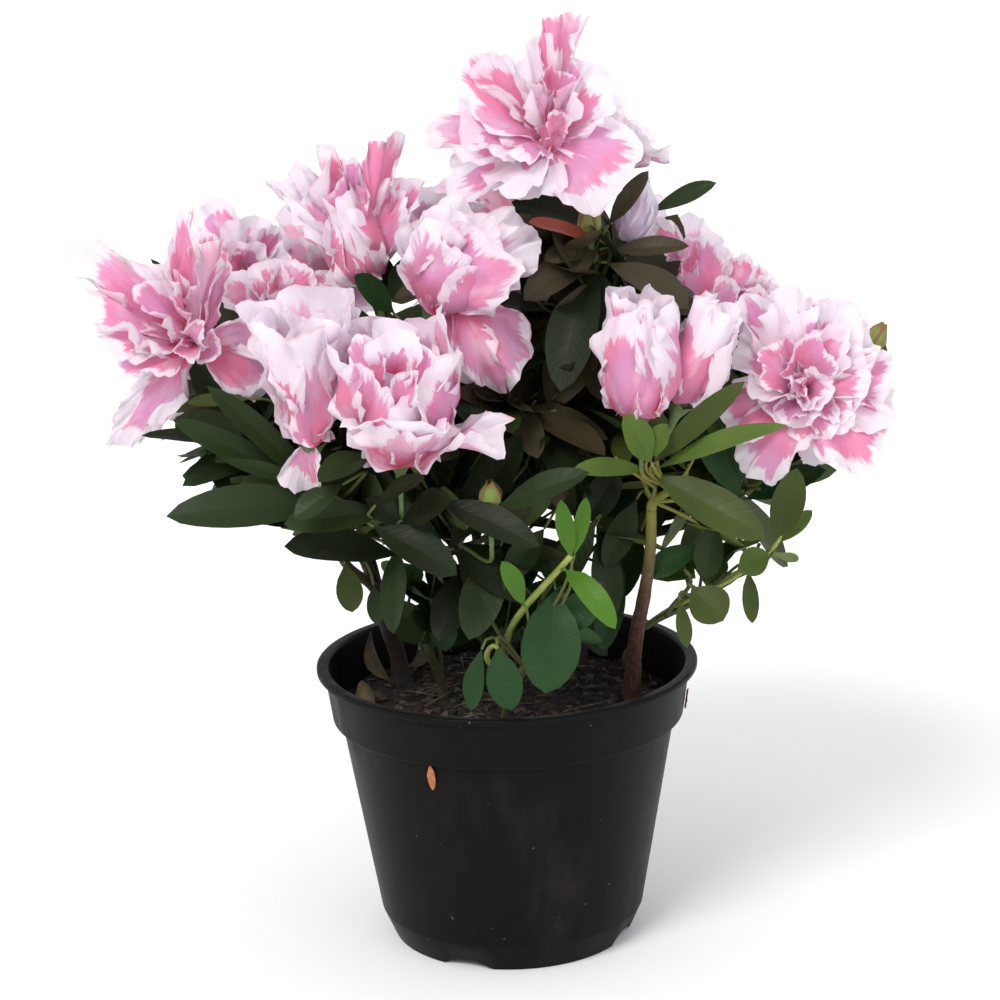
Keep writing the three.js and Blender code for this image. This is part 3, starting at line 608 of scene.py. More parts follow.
def finish_piece(name, bm, material, nodes, smooth_faces=True):
    """Scales a finished mesh to metres and makes it a piece that rides on the plant."""
    bmesh.ops.scale(bm, vec=(MM, MM, MM), verts=bm.verts)
    mesh = bpy.data.meshes.new(name)
    for face in bm.faces:
        face.smooth = smooth_faces
    bm.to_mesh(mesh)
    bm.free()
    mesh.materials.append(material)
    piece = in_scene(name, mesh)
    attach(piece, "root")
    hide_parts(*nodes)


# Node making
def plug(tree, socket, value):
    """Links an input where a socket is given and sets it where a value is."""
    if isinstance(value, bpy.types.NodeSocket):
        tree.links.new(value, socket)
    elif socket.type == "RGBA":
        socket.default_value = (*value, 1)
    else:
        socket.default_value = value


def node(tree, kind, inputs=None, **settings):
    made = tree.nodes.new(kind)
    for name, value in settings.items():
        setattr(made, name, value)
    for name, value in (inputs or {}).items():
        plug(tree, made.inputs[name], value)
    return made


def calc(tree, operation, *values):
    return node(tree, "ShaderNodeMath", dict(enumerate(values)), operation=operation).outputs[0]


def times(tree, first, second):
    return calc(tree, "MULTIPLY", first, second)


def plus(tree, first, second):
    return calc(tree, "ADD", first, second)


def minus(tree, first, second):
    return calc(tree, "SUBTRACT", first, second)


def rise(tree, value, low, high, top=1.0, bottom=0.0):
    """A smooth step of a value from low to high."""
    made = node(
        tree, "ShaderNodeMapRange",
        {"Value": value, "From Min": low, "From Max": high, "To Min": bottom, "To Max": top},
        interpolation_type="SMOOTHSTEP",
    )
    return made.outputs["Result"]


def blend(tree, share, first, second):
    """A mix of two colours, by the sockets of the mix node that hold its share and its colours."""
    made = node(tree, "ShaderNodeMix", data_type="RGBA")
    for index, value in ((0, share), (6, first), (7, second)):
        plug(tree, made.inputs[index], value)
    return made.outputs[2]


def grain(tree, vector, scale, detail=2.0, roughness=0.5):
    made = node(
        tree, "ShaderNodeTexNoise",
        {"Vector": vector, "Scale": scale, "Detail": detail, "Roughness": roughness},
    )
    return made.outputs["Fac"]


def new_group(name, inputs, outputs):
    """A node group with named sockets, each of a kind: Color, Float or Vector."""
    tree = bpy.data.node_groups.new(name, "ShaderNodeTree")
    for way, sockets in (("INPUT", inputs), ("OUTPUT", outputs)):
        for label, kind in sockets.items():
            tree.interface.new_socket(label, in_out=way, socket_type=f"NodeSocket{kind}")
    return tree, tree.nodes.new("NodeGroupInput").outputs, tree.nodes.new("NodeGroupOutput").inputs


def use_group(tree, group, inputs):
    return node(tree, "ShaderNodeGroup", inputs, node_tree=group).outputs


def new_material(name):
    material = bpy.data.materials.new(name)
    material.use_nodes = True
    material.node_tree.nodes.clear()
    return material, material.node_tree


def surface_shader(tree, colour, roughness, bump=None, **plain):
    """The main shader of a finish. A bump is a height, its strength and its depth in metres."""
    inputs = {"Base Color": colour, "Roughness": roughness}
    inputs.update({name.replace("_", " "): value for name, value in plain.items()})
    if bump:
        relief = node(tree, "ShaderNodeBump", dict(zip(("Height", "Strength", "Distance"), bump)))
        inputs["Normal"] = relief.outputs["Normal"]
    return node(tree, "ShaderNodeBsdfPrincipled", inputs).outputs["BSDF"]


def let_through(tree, shader, colour, share):
    """Adds light that shines through a thin leaf or petal."""
    through = node(tree, "ShaderNodeBsdfTranslucent", {"Color": colour}).outputs[0]
    return node(tree, "ShaderNodeMixShader", {0: share, 1: shader, 2: through}).outputs[0]


def show(tree, shader):
    node(tree, "ShaderNodeOutputMaterial", {"Surface": shader})


def object_place(tree):
    return node(tree, "ShaderNodeTexCoord").outputs["Object"]


def own_place(tree):
    """The place on a leaf or petal, across it and along it."""
    return node(tree, "ShaderNodeUVMap", uv_map="place").outputs[0]


def underside(tree):
    return node(tree, "ShaderNodeNewGeometry").outputs["Backfacing"]


def stretched(tree, vector, upward):
    """Makes a pattern longer up and down, by a scale less than 1."""
    return node(tree, "ShaderNodeMapping", {"Vector": vector, "Scale": (1, 1, upward)}).outputs[0]


def parts_of(tree, vector):
    return node(tree, "ShaderNodeSeparateXYZ", {0: vector}).outputs


# Finishes
def petal_markings():
    """White margin feathered along the veins, deeper throat, fine veins and a thin rim."""
    colours = ("Rose", "Orchid", "Deep rose", "White", "Rim")
    tree, given, out = new_group(
        "petal_markings",
        {"Place": "Vector", "Traits": "Vector", **dict.fromkeys(colours, "Color")},
        {"Color": "Color", "Height": "Float"},
    )
    across, along, _ = parts_of(tree, given["Place"])
    white_share, depth, mark = parts_of(tree, given["Traits"])

    def streaks(fineness, length, shift):
        """Noise drawn out along the petal, at its own place in the noise for each petal."""
        shares = (times(tree, across, fineness), times(tree, along, length), times(tree, mark, shift))
        vector = node(tree, "ShaderNodeCombineXYZ", dict(enumerate(shares)))
        return grain(tree, vector.outputs[0], 1.0, 3.0, 0.6)

    broad = streaks(3.0, 1.0, 19.0)
    middle = streaks(15.0, 1.6, 37.0)
    fine = streaks(55.0, 2.2, 53.0)
    veins = streaks(110.0, 1.0, 71.0)

    # White margin
    reach = times(tree, white_share, rise(tree, broad, 0.35, 0.65, 0.8, 0.25))
    ragged = plus(tree, times(tree, middle, 0.4), times(tree, fine, 0.28))
    edge = plus(tree, along, minus(tree, ragged, 0.34))
    white = rise(tree, minus(tree, edge, minus(tree, 1.0, reach)), -0.035, 0.045)

    # Ground colour with its throat, veins, pale veil and shades, under the margin and its rim
    throat = rise(tree, plus(tree, along, times(tree, middle, 0.3)), 0.15, 0.7, 0.0, 1.0)
    patches = rise(tree, streaks(2.2, 1.3, 91.0), 0.4, 0.62)
    rim = times(tree, rise(tree, along, 0.96, 0.995), rise(tree, broad, 0.48, 0.62, 0.6))
    layers = (
        (patches, "Orchid"),
        (times(tree, throat, depth), "Deep rose"),
        (rise(tree, fine, 0.5, 0.75, 0.16), "Deep rose"),
        (rise(tree, streaks(4.5, 1.6, 113.0), 0.5, 0.68, 0.34), "White"),
        (times(tree, white, 0.95), "White"),
        (rise(tree, streaks(6.0, 2.5, 131.0), 0.5, 0.7, 0.13), "Orchid"),
        (rim, "Rim"),
    )
    colour = given["Rose"]
    for share, tint in layers:
        colour = blend(tree, share, colour, given[tint])
    plug(tree, out["Color"], colour)
    plug(tree, out["Height"], plus(tree, veins, times(tree, middle, 1.5)))
    return tree


def petal_finish(name, markings, rose, orchid, deep, white, rim, glow=0.4):
    """A thin petal that lets some light through, paler on its outer side."""
    material, tree = new_material(name)
    traits = node(tree, "ShaderNodeAttribute", attribute_name="traits").outputs["Vector"]
    marks = use_group(tree, markings, {
        "Place": own_place(tree), "Traits": traits, "Rose": rose, "Orchid": orchid, "Deep rose": deep,
        "White": white, "Rim": rim,
    })
    colour = blend(tree, times(tree, underside(tree), 0.28), marks["Color"], white)
    bump = (marks["Height"], 0.35, 0.0006)
    shader = surface_shader(tree, colour, 0.5, bump, Specular_IOR_Level=0.35, Sheen_Weight=0.15)
    show(tree, let_through(tree, shader, colour, glow))
    return material


def leaf_relief():
    """Side veins that run from a midrib towards the tip, and a puckered skin between them."""
    tree, given, out = new_group(
        "leaf_relief",
        {"Place": "Vector", "Skin": "Vector", "Color": "Color", "Variation": "Float"},
        {"Color": "Color", "Height": "Float", "Roughness": "Float"},
    )
    across, along, _ = parts_of(tree, given["Place"])
    from_rib = times(tree, calc(tree, "ABSOLUTE", minus(tree, across, 0.5)), 2.0)
    run = minus(tree, times(tree, along, 9.0), times(tree, from_rib, 1.7))
    ridge = calc(tree, "ABSOLUTE", minus(tree, calc(tree, "FRACT", run), 0.5))
    vein = rise(tree, ridge, 0.0, 0.2, 0.5)
    rib = rise(tree, from_rib, 0.0, 0.1, 0.9)
    pucker = times(tree, grain(tree, given["Skin"], 900.0), 0.35)
    patches = grain(tree, given["Skin"], 55.0)
    shade = times(tree, rise(tree, patches, 0.3, 0.7), given["Variation"])
    darker = blend(tree, 0.55, given["Color"], (0.0, 0.0, 0.0))
    plug(tree, out["Color"], blend(tree, shade, given["Color"], darker))
    plug(tree, out["Height"], plus(tree, plus(tree, vein, rib), pucker))
    plug(tree, out["Roughness"], rise(tree, patches, 0.3, 0.7, 0.5, 0.34))
    return tree


def leaf_finish(name, relief, colour, under, variation=0.35, glow=0.0):
    """A leathery leaf with a soft shine, dull and paler underneath."""
    material, tree = new_material(name)
    skin = use_group(tree, relief, {
        "Place": own_place(tree), "Skin": object_place(tree), "Color": colour, "Variation": variation,
    })
    behind = underside(tree)
    both = blend(tree, behind, skin["Color"], under)
    dull = plus(tree, skin["Roughness"], times(tree, behind, 0.25))
    shader = surface_shader(tree, both, dull, (skin["Height"], 0.22, 0.0004), Specular_IOR_Level=0.14)
    show(tree, let_through(tree, shader, both, glow) if glow else shader)
    return material


def bark_finish(name, old, grey, green):
    """Bark with long cracks and paler flakes, greener on young wood."""
    material, tree = new_material(name)
    here = object_place(tree)
    cracks = grain(tree, stretched(tree, here, 0.22), 950.0, 4.0, 0.65)
    flakes = grain(tree, here, 260.0, 3.0)
    young = node(tree, "ShaderNodeAttribute", attribute_name="age").outputs["Fac"]
    colour = blend(tree, rise(tree, flakes, 0.35, 0.7), old, grey)
    colour = blend(tree, rise(tree, cracks, 0.6, 0.4, 0.7), colour, (0.02, 0.012, 0.008))
    colour = blend(tree, young, colour, green)
    show(tree, surface_shader(tree, colour, 0.78, (cracks, 0.7, 0.0008)))
    return material


def mottled_finish(name, first, second, scale, roughness, strength=0.5, depth=0.0006):
    """Two colours in soft patches over a grainy skin."""
    material, tree = new_material(name)
    here = object_place(tree)
    patches = grain(tree, here, scale, 3.0, 0.6)
    skin = grain(tree, here, scale * 6, 3.0, 0.6)
    colour = blend(tree, rise(tree, patches, 0.35, 0.65), first, second)
    show(tree, surface_shader(tree, colour, roughness, (skin, strength, depth)))
    return material


def plastic_finish():
    """Near-black satin moulded plastic with fine dust, specks and dried water marks."""
    material, tree = new_material("pot_plastic")
    here = object_place(tree)
    cloud = grain(tree, here, 28.0, 4.0, 0.6)
    fine = grain(tree, here, 1400.0)
    specks = grain(tree, here, 620.0, 1.0)
    runs = grain(tree, stretched(tree, here, 0.12), 120.0)
    dust = times(tree, rise(tree, cloud, 0.42, 0.75), rise(tree, runs, 0.35, 0.7))
    colour = blend(tree, times(tree, dust, 0.55), (0.005, 0.0048, 0.0045), (0.024, 0.02, 0.017))
    colour = blend(tree, rise(tree, specks, 0.775, 0.81, 0.5), colour, (0.16, 0.14, 0.12))
    roughness = plus(tree, 0.42, times(tree, dust, 0.25))
    show(tree, surface_shader(tree, colour, roughness, (fine, 0.12, 0.0002), Specular_IOR_Level=0.06))
    return material


# The plant's finishes
MARKINGS = petal_markings()
PETAL_FINISHES = {
    "petal": petal_finish(
        "petal", MARKINGS, rose=(0.85, 0.28, 0.45), orchid=(0.76, 0.36, 0.59), deep=(0.82, 0.09, 0.2),
        white=(0.92, 0.87, 0.93), rim=(0.9, 0.4, 0.42)),
    "pale": petal_finish(
        "bud_petal", MARKINGS, rose=(0.72, 0.5, 0.66), orchid=(0.7, 0.6, 0.78), deep=(0.35, 0.5, 0.2),
        white=(0.86, 0.84, 0.92), rim=(0.85, 0.8, 0.7)),
    "green": petal_finish(
        "bud_scale", MARKINGS, rose=(0.16, 0.26, 0.05), orchid=(0.2, 0.22, 0.05), deep=(0.08, 0.2, 0.03),
        white=(0.2, 0.1, 0.03), rim=(0.32, 0.18, 0.07), glow=0.1),
}

# Each tone of leaf: its upper side, its underside, how much it varies and how much light it lets
# through
LEAF_RELIEF = leaf_relief()
LEAF_TONES = {
    "dark": ((0.016, 0.03, 0.008), (0.045, 0.066, 0.02)),
    "deep": ((0.012, 0.018, 0.007), (0.036, 0.044, 0.018)),
    "brown": ((0.042, 0.034, 0.018), (0.075, 0.06, 0.03)),
    "olive": ((0.048, 0.068, 0.015), (0.09, 0.11, 0.03), 0.3, 0.08),
    "red": ((0.16, 0.03, 0.02), (0.2, 0.045, 0.025)),
    "mid": ((0.014, 0.046, 0.012), (0.045, 0.09, 0.03)),
    "fresh": ((0.09, 0.145, 0.028), (0.15, 0.21, 0.05), 0.3, 0.12),
    "bright": ((0.07, 0.17, 0.018), (0.14, 0.24, 0.045), 0.25, 0.15),
}
LEAF_FINISHES = {tone: leaf_finish(f"leaf_{tone}", LEAF_RELIEF, *row) for tone, row in LEAF_TONES.items()}
BARK = bark_finish("bark", (0.1, 0.033, 0.022), (0.12, 0.052, 0.037), (0.17, 0.17, 0.025))
OLD_BARK = bark_finish("old_bark", (0.021, 0.014, 0.01), (0.034, 0.026, 0.02), (0.06, 0.07, 0.015))
TWIG_BARK = bark_finish("twig_bark", (0.06, 0.033, 0.018), (0.08, 0.058, 0.034), (0.08, 0.105, 0.02))
SHOOT = mottled_finish("green_shoot", (0.2, 0.26, 0.035), (0.26, 0.3, 0.07), 160.0, 0.5, 0.2)
SEPAL = mottled_finish("sepal", (0.07, 0.13, 0.035), (0.13, 0.19, 0.07), 300.0, 0.6)


# Pot
def turned(profile, steps):
    """A mesh that a profile of radii and heights makes as it turns once about the upright axis."""
    bm = bmesh.new()
    verts = [bm.verts.new((radius, 0, height)) for radius, height in profile]
    edges = [bm.edges.new(pair) for pair in zip(verts, verts[1:])]
    bmesh.ops.spin(
        bm, geom=verts + edges, cent=(0, 0, 0), axis=(0, 0, 1), angle=math.tau,
        steps=steps, use_merge=True, use_duplicate=False,
    )
    bmesh.ops.remove_doubles(bm, verts=bm.verts, dist=MERGE)
    bmesh.ops.recalc_face_normals(bm, faces=bm.faces)
    return bm


def pot_piece(material):
    """A turned wall with a rolled lip, a band and a chamfered foot, notched and hollow beneath."""
    bm = turned([
        (0, UNDERSIDE_RISE),
        (FOOT_RADIUS - FOOT_RING_WIDTH - FOOT_RING_SLOPE, UNDERSIDE_RISE),
        (FOOT_RADIUS - FOOT_RING_WIDTH, 0),
        (FOOT_RADIUS, 0),
        (BODY_BOTTOM_RADIUS, FOOT_CHAMFER_HEIGHT),
        (BODY_TOP_RADIUS, BAND_FOOT - BAND_STEP),
        (BAND_BOTTOM_RADIUS, BAND_FOOT),
        (BAND_TOP_RADIUS, LIP_FOOT),
        (RIM_RADIUS, LIP_FOOT + LIP_SLOPE),
        (RIM_RADIUS, POT_HEIGHT - LIP_OUTER_CHAMFER[1]),
        (RIM_RADIUS - LIP_OUTER_CHAMFER[0], POT_HEIGHT),
        (BAND_TOP_RADIUS - POT_WALL + LIP_INNER_CHAMFER[0], POT_HEIGHT),
        (BAND_TOP_RADIUS - POT_WALL, POT_HEIGHT - LIP_INNER_CHAMFER[1]),
        (BAND_BOTTOM_RADIUS - POT_WALL, BAND_FOOT + BAND_STEP),
        (BODY_TOP_RADIUS - POT_WALL, BAND_FOOT - 2 * BAND_STEP),
        (BODY_BOTTOM_RADIUS - POT_WALL, FOOT_CHAMFER_HEIGHT),
        (FOOT_RADIUS - POT_WALL, UNDERSIDE_RISE + POT_FLOOR),
        (0, UNDERSIDE_RISE + POT_FLOOR),
    ], POT_STEPS)
    creases = [
        edge for edge in bm.edges
        if len(edge.link_faces) == 2 and edge.calc_face_angle(0) > math.radians(CREASE_ANGLE)
    ]
    bmesh.ops.bevel(
        bm, geom=creases, offset=EDGE_ROUNDING, offset_type="OFFSET", segments=3, profile=0.5,
        affect="EDGES", material=-1, clamp_overlap=True,
    )
    notch_turn = 360 / FOOT_NOTCHES
    for vert in bm.verts:
        turn = math.degrees(math.atan2(vert.co.y, vert.co.x)) - FIRST_NOTCH_TURN
        turn = (turn + notch_turn / 2) % notch_turn - notch_turn / 2
        offset = math.radians(turn) * FOOT_RADIUS / (NOTCH_WIDTH / 2)
        if abs(offset) < 1:
            vert.co.z = max(vert.co.z, NOTCH_HEIGHT * math.sqrt(1 - offset * offset))
    finish_piece("pot_moulding", bm, material, ["pot"])


# Compost
def compost_height(x, y):
    """The lumpy top of the compost, lower by the wall."""
    lumps = sum(
        noise.noise(Vector((x, y, layer)) / breadth) * height for breadth, height, layer in COMPOST_LUMPS
    )
    drop = COMPOST_EDGE_DROP * smooth(0.8, 1, math.hypot(x, y) / COMPOST_RADIUS)
    return COMPOST_TOP - COMPOST_HOLLOW + lumps - drop


def compost_piece(material):
    wall = POT_WALL + COMPOST_CLEARANCE
    top = [(COMPOST_RADIUS * i / COMPOST_RINGS, COMPOST_TOP) for i in range(COMPOST_RINGS + 1)]
    bm = turned([
        *top,
        (BAND_BOTTOM_RADIUS - wall, BAND_FOOT + COMPOST_SHOULDER),
        (BODY_TOP_RADIUS - wall, BAND_FOOT - 2 * BAND_STEP),
        (BODY_BOTTOM_RADIUS - wall, FOOT_CHAMFER_HEIGHT),
        (FOOT_RADIUS - POT_WALL - COMPOST_FOOT_CLEARANCE, COMPOST_BASE),
        (0, COMPOST_BASE),
    ], COMPOST_STEPS)
    for vert in bm.verts:
        if vert.co.z > COMPOST_TOP - 0.1:
            vert.co.z = compost_height(vert.co.x, vert.co.y)
    finish_piece("compost_bed", bm, material, ["compost"])


def scattered(random, margin, lift=0.0):
    """A place on the compost, even over its disc but for a margin by the wall."""
    turn, radius = math.tau * random(), (COMPOST_RADIUS - margin) * math.sqrt(random())
    x, y = radius * math.cos(turn), radius * math.sin(turn)
    return Vector((x, y, compost_height(x, y) + lift))


def laid(spot, random, tilt, stretch):
    """Where a piece of litter lies: its place, a turn, a tilt up to a limit, and its measures."""
    turn = Matrix.Rotation(math.tau * random(), 4, "Z")
    lean_over = Matrix.Rotation(math.radians(tilt * (2 * random() - 1)), 4, "X")
    return Matrix.Translation(spot) @ turn @ lean_over @ Matrix.Diagonal((*stretch, 1))


def crumbs_piece(material):
    """Crumbs and clods of compost."""
    bm = bmesh.new()
    random = seeded(CRUMB_SEED)
    noise.seed_set(LITTER_NOISE_SEED)
    for _ in range(CRUMBS):
        size = between(CRUMB_SIZES, random() ** 3)
        spot = scattered(random, CRUMB_MARGIN)
        stretch = (size * between(CRUMB_STRETCHES, random()), size, size * CRUMB_FLATNESS)
        matrix = laid(spot, random, CRUMB_TILT, stretch)
        made = bmesh.ops.create_icosphere(bm, subdivisions=1, radius=1, matrix=matrix)["verts"]
        for vert in made:
            vert.co += noise.noise_vector(vert.co * 0.9) * size * CRUMB_ROUGHNESS
    finish_piece("compost_crumbs", bm, material, ["compost"], False)


def chips_piece(material):
    """Splinters and chips of bark that lie on the compost."""
    bm = bmesh.new()
    random = seeded(CHIP_SEED)
    noise.seed_set(LITTER_NOISE_SEED)
    for _ in range(CHIPS):
        length, width = between(CHIP_LENGTHS, random() ** 2), between(CHIP_WIDTHS, random())
        spot = scattered(random, CHIP_MARGIN, CHIP_LIFT)
        stretch = (length, width, between(CHIP_THICKNESSES, random()))
        matrix = laid(spot, random, CHIP_TILT, stretch)
        made = bmesh.ops.create_cube(bm, size=1, matrix=matrix)["verts"]
        for vert in made:
            vert.co += noise.noise_vector(vert.co * 0.7) * CHIP_ROUGHNESS
    finish_piece("bark_chips", bm, material, ["compost"], False)


def straws_piece(material):
    """Dry straws and root threads on the compost."""
    bm = new_mesh("wood")
    random = seeded(STRAW_SEED)
    for _ in range(STRAWS):
        start = scattered(random, STRAW_MARGINS[0], STRAW_LIFT)
        turn = 360 * random()
        length = between(STRAW_LENGTHS, random())
        end = start + direction(turn, 0) * length
        if math.hypot(end.x, end.y) > COMPOST_RADIUS - STRAW_MARGINS[1]:
            end = start - direction(turn, 0) * length
        end.z = compost_height(end.x, end.y) + between(STRAW_END_LIFTS, random())
        lead = direction(turn + STRAW_BEND * (random() - 0.5), STRAW_RISE)
        curve = Sweep(start, lead, end, (end - start).normalized())
        add_limb(bm, curve, STRAW_RADII, 4, 6)
    finish_piece("straws", bm, material, ["compost"])


def fallen_leaves_piece(material):
    """Dry curled leaves that lie on the compost."""
    bm = new_mesh("sheet")
    for x, y, turn, tilt, size, bend in FALLEN_LEAVES:
        ahead = direction(turn, tilt)
        length, half_width = DRY_LEAF[0] * size, DRY_LEAF[1] * size
        lift = compost_height(x, y) + 1
        root = Vector((x, y, lift)) - ahead * (length / 2)
        root.z = lift
        blade = Blade(
            root, ahead, square_to(UP, ahead), length, half_width, math.radians(bend),
            DRY_LEAF_CUP, DRY_LEAF_ROLL,
        )
        add_leaf(bm, blade, DRY_LEAF_WAVE, turn)
    finish_piece("dry_leaves", bm, material, ["compost"])


def pot_radius(height):
    """The radius of the pot's outside at a height on its body or its band."""
    if height < BAND_FOOT:
        low, high, radii = FOOT_CHAMFER_HEIGHT, BAND_FOOT, (BODY_BOTTOM_RADIUS, BODY_TOP_RADIUS)
    else:
        low, high, radii = BAND_FOOT, LIP_FOOT, (BAND_BOTTOM_RADIUS, BAND_TOP_RADIUS)
    return between(radii, (height - low) / (high - low))


def stuck_petals_piece(material):
    """Dried petals that stick to the outside of the pot, following its wall."""
    bm = new_mesh("sheet")
    for order, (turn, top, foot, half_width) in enumerate(STUCK_PETALS):
        def surface(u, v):
            height = between((top, foot), u)
            radius = pot_radius(height)
            curl = 0.35 + 0.5 * v * v + 0.6 * noise.noise(Vector((u * 3, v * 2, order)))
            spread = half_width * v * math.sin(math.pi * (0.1 + 0.85 * u))
            out = radius + max(curl, STUCK_PETAL_LEAST_LIFT)
            return direction(turn + math.degrees(spread / radius), 0) * out + UP * height

        add_sheet(bm, surface, 6, 10)
    finish_piece("stuck_petals", bm, material, ["blossom_front"])


# Leaves
def leaf_outline(u):
    """The half width of a leaf as a share, at a share of its length."""
    return math.sin(math.pi * u ** 1.2) ** 0.62 if 0 < u < 1 else 0.0


class Blade:
    """A leaf or petal: its rib is an arc from its root, and its edges rise from the rib by the cup."""

    def __init__(self, root, ahead, outward, length, half_width, bend, cup, roll=0.0, twist=0.0):
        self.root, self.ahead, self.outward = root, ahead, outward
        self.side = ahead.cross(outward)
        self.length, self.half_width = length, half_width
        self.bend = bend if abs(bend) > LEAST_BEND else LEAST_BEND
        self.cup, self.roll, self.twist = cup, roll, twist

    def normal(self, along):
        return lean(self.ahead, self.outward, self.bend * along).cross(self.side)

    def point(self, along, across):
        """The point at a share of the length and of the half width."""
        angle = self.bend * along
        width = self.half_width * across
        side, normal, twist = self.side, self.normal(along), self.twist * along
        side, normal = lean(side, normal, twist), lean(normal, side, -twist)
        return (
            self.root
            + self.ahead * (self.length * math.sin(angle) / self.bend)
            + self.outward * (self.length * (1 - math.cos(angle)) / self.bend)
            + side * width
            + normal * (width * (self.cup * across + self.roll))
        )


def shown_blade(root, tip, half_width, sag, facing):
    """A leaf from its root to its tip, with its upper side turned to a direction."""
    root, tip = Vector(root), Vector(tip)
    chord = (tip - root).normalized()
    below = square_to(-facing, chord)
    bend = math.radians(sag)
    ahead = lean(chord, below, -bend / 2)
    outward = lean(below, chord, bend / 2)
    length = (tip - root).length * bend / (2 * math.sin(bend / 2))
    return Blade(root, ahead, outward, length, half_width, bend, LEAF_CUP)


def add_leaf(bm, blade, wave, seed):
    """A leaf with a narrow groove along its midrib and a slightly wavy margin."""
    columns = len(LEAF_ACROSS) - 1

    def surface(u, v):
        v = LEAF_ACROSS[round((v + 1) / 2 * columns)]
        width = leaf_outline(u)
        ripple = wave * math.sin(7 * u + seed * 17 + (2 if v > 0 else 0)) * abs(v) ** 2
        groove = LEAF_GROOVE * blade.half_width if abs(v) < 0.1 else 0
        return blade.point(u, v * width) + blade.normal(u) * ((ripple - groove) * width)

    add_sheet(bm, surface, columns, LEAF_ROWS, LEAF_ROW_SPACING)


# Plant structure, grown by the rule of the solids
def stem_curve(name):
    """A stem rises straight from its foot and ends upright at its fork."""
    foot, fork, _ = STEMS[name]
    return Sweep(Vector((*foot, STEM_FOOT)), UP, Vector(fork), UP)


def bough_curve(name):
    """A bough starts upright on its stem's fork, to one side, and lifts at its tip."""
    stem, turn, tip = BOUGHS[name]
    _, fork, radii = STEMS[stem]
    start = Vector(fork) + direction(turn, 0) * (radii[1] - BOUGH_RADIUS) + UP * FORK_GAP
    end = Vector(tip)
    lead = ((end - start).normalized() + UP * BOUGH_LIFT).normalized()
    return Sweep(start, UP, end, lead)


def depth_in(mass, place):
    """Space of a mass: 1 on its surface, less inside."""
    _, middle, radii, _, _ = mass
    return math.hypot(*((place[k] - middle[k]) / radii[k] for k in range(3)))


def belongs(name, place):
    """True where a place is in a mass's own space and no other mass's space is nearer."""
    own = depth_in(MASSES[name], place)
    return own < SPACE_LIMIT and all(depth_in(mass, place) >= own for mass in MASSES.values())


def start_of(mass):
    """Where a mass starts: its bough's or stem's tip, its foot on the compost, or a stem's side."""
    carrier = mass[0]
    if mass is MASSES["sprout_right"]:
        curve = stem_curve("stem_right")
        return curve.at(SIDE_BRANCH_SHARE), direction(*SIDE_BRANCH_AIM), AXLE_RADII["foot"]
    if not isinstance(carrier, str):
        return Vector((*carrier, STEM_FOOT)), UP, AXLE_RADII["foot"]
    curve = bough_curve(carrier) if carrier in BOUGHS else stem_curve(carrier)
    radius = AXLE_RADII["bough" if carrier in BOUGHS else "stem"]
    return curve.at(1), curve.aim(1), radius


def mass_stem(mass):
    """A mass's own stem goes on from where the mass starts, towards the mass's middle."""
    start, aim, radius = start_of(mass)
    heart = start.lerp(Vector(mass[1]), AXLE_SHARE)
    return Sweep(start, aim, heart, (heart - start).normalized()), radius


def spray_stem(mass, feet):
    """The stem of a spray of blooms goes on from the tip of its mass's stem."""
    curve, radius = mass_stem(mass)
    start, aim = curve.at(1), curve.aim(1)
    centre = sum(feet, Vector()) / len(feet)
    heart = start.lerp(centre, SPRAY_SHARE)
    return Sweep(start, aim, heart, (heart - start).normalized()), radius * AXLE_TAPER


def shoot_tips(mass, random):
    """Tips of a mass's twigs and their aims: a spiral from the top of its space to the bottom."""
    _, middle, radii, shoots, _ = mass
    first_turn = 360 * random()
    tips = []
    for i in range(shoots):
        rise_share = 1 - (2 * (i + 0.5)) / shoots
        reach = between(SHOOT_REACH, random())
        aim = direction(first_turn + GOLDEN_TURN * i, 0) * math.sqrt(1 - rise_share ** 2)
        aim.z = SHOOT_RISES[0] * rise_share + SHOOT_RISES[1]
        offset = Vector([aim[k] * radii[k] for k in range(3)]) * reach
        tips.append((Vector(middle) + offset, (aim + UP * SHOOT_LIFT).normalized()))
    return tips


def shoot_leaves(tip, aim, leaf, count, random):
    """Leaves of a shoot: a spiral that opens wider down the shoot."""
    across = square_to(Vector((1, 0, 0)) if abs(aim.z) > 0.9 else UP, aim)
    third = aim.cross(across)
    first_turn = 360 * random()
    blades = []
    for j in range(count):
        opening = math.radians(between(LEAF_OPENING, random()) + LEAF_OPENING_STEP * j)
        size = between(LEAF_SIZES, random())
        bend = math.radians(between(LEAF_BENDS, random()))
        turn = math.radians(first_turn + GOLDEN_TURN * j)
        ahead = lean(aim, lean(across, third, turn), opening)
        outward = square_to(-(aim + UP * LEAF_DROOP), ahead)
        root = tip - aim * (1 + LEAF_SPACING * j)
        length, half_width = leaf[0] * size, leaf[1] * size
        blades.append(Blade(root, ahead, outward, length, half_width, bend, LEAF_CUP))
    return blades


# Blooms and buds: the mass each grows from, throat, aim as turn and rise, the length and radius
# of a closed head, and petals. An open petal is a row of turn about the axis, opening, curl,
# length, half width, cup, white share and depth of the throat's colour. A petal that wraps a
# closed head is a row of turn, half span, reach, swell, flare, white share and depth. A placed
# petal, on a bloom that faces forward, is a row of how far its tip lies to the right of the
# throat, above it and in front of it, half width, sag, cup, turn about its rib, white share,
# depth, and its root where that isn't the throat.
def ring(count, first_turn, *row):
    return [(first_turn + 360 / count * i, *row) for i in range(count)]


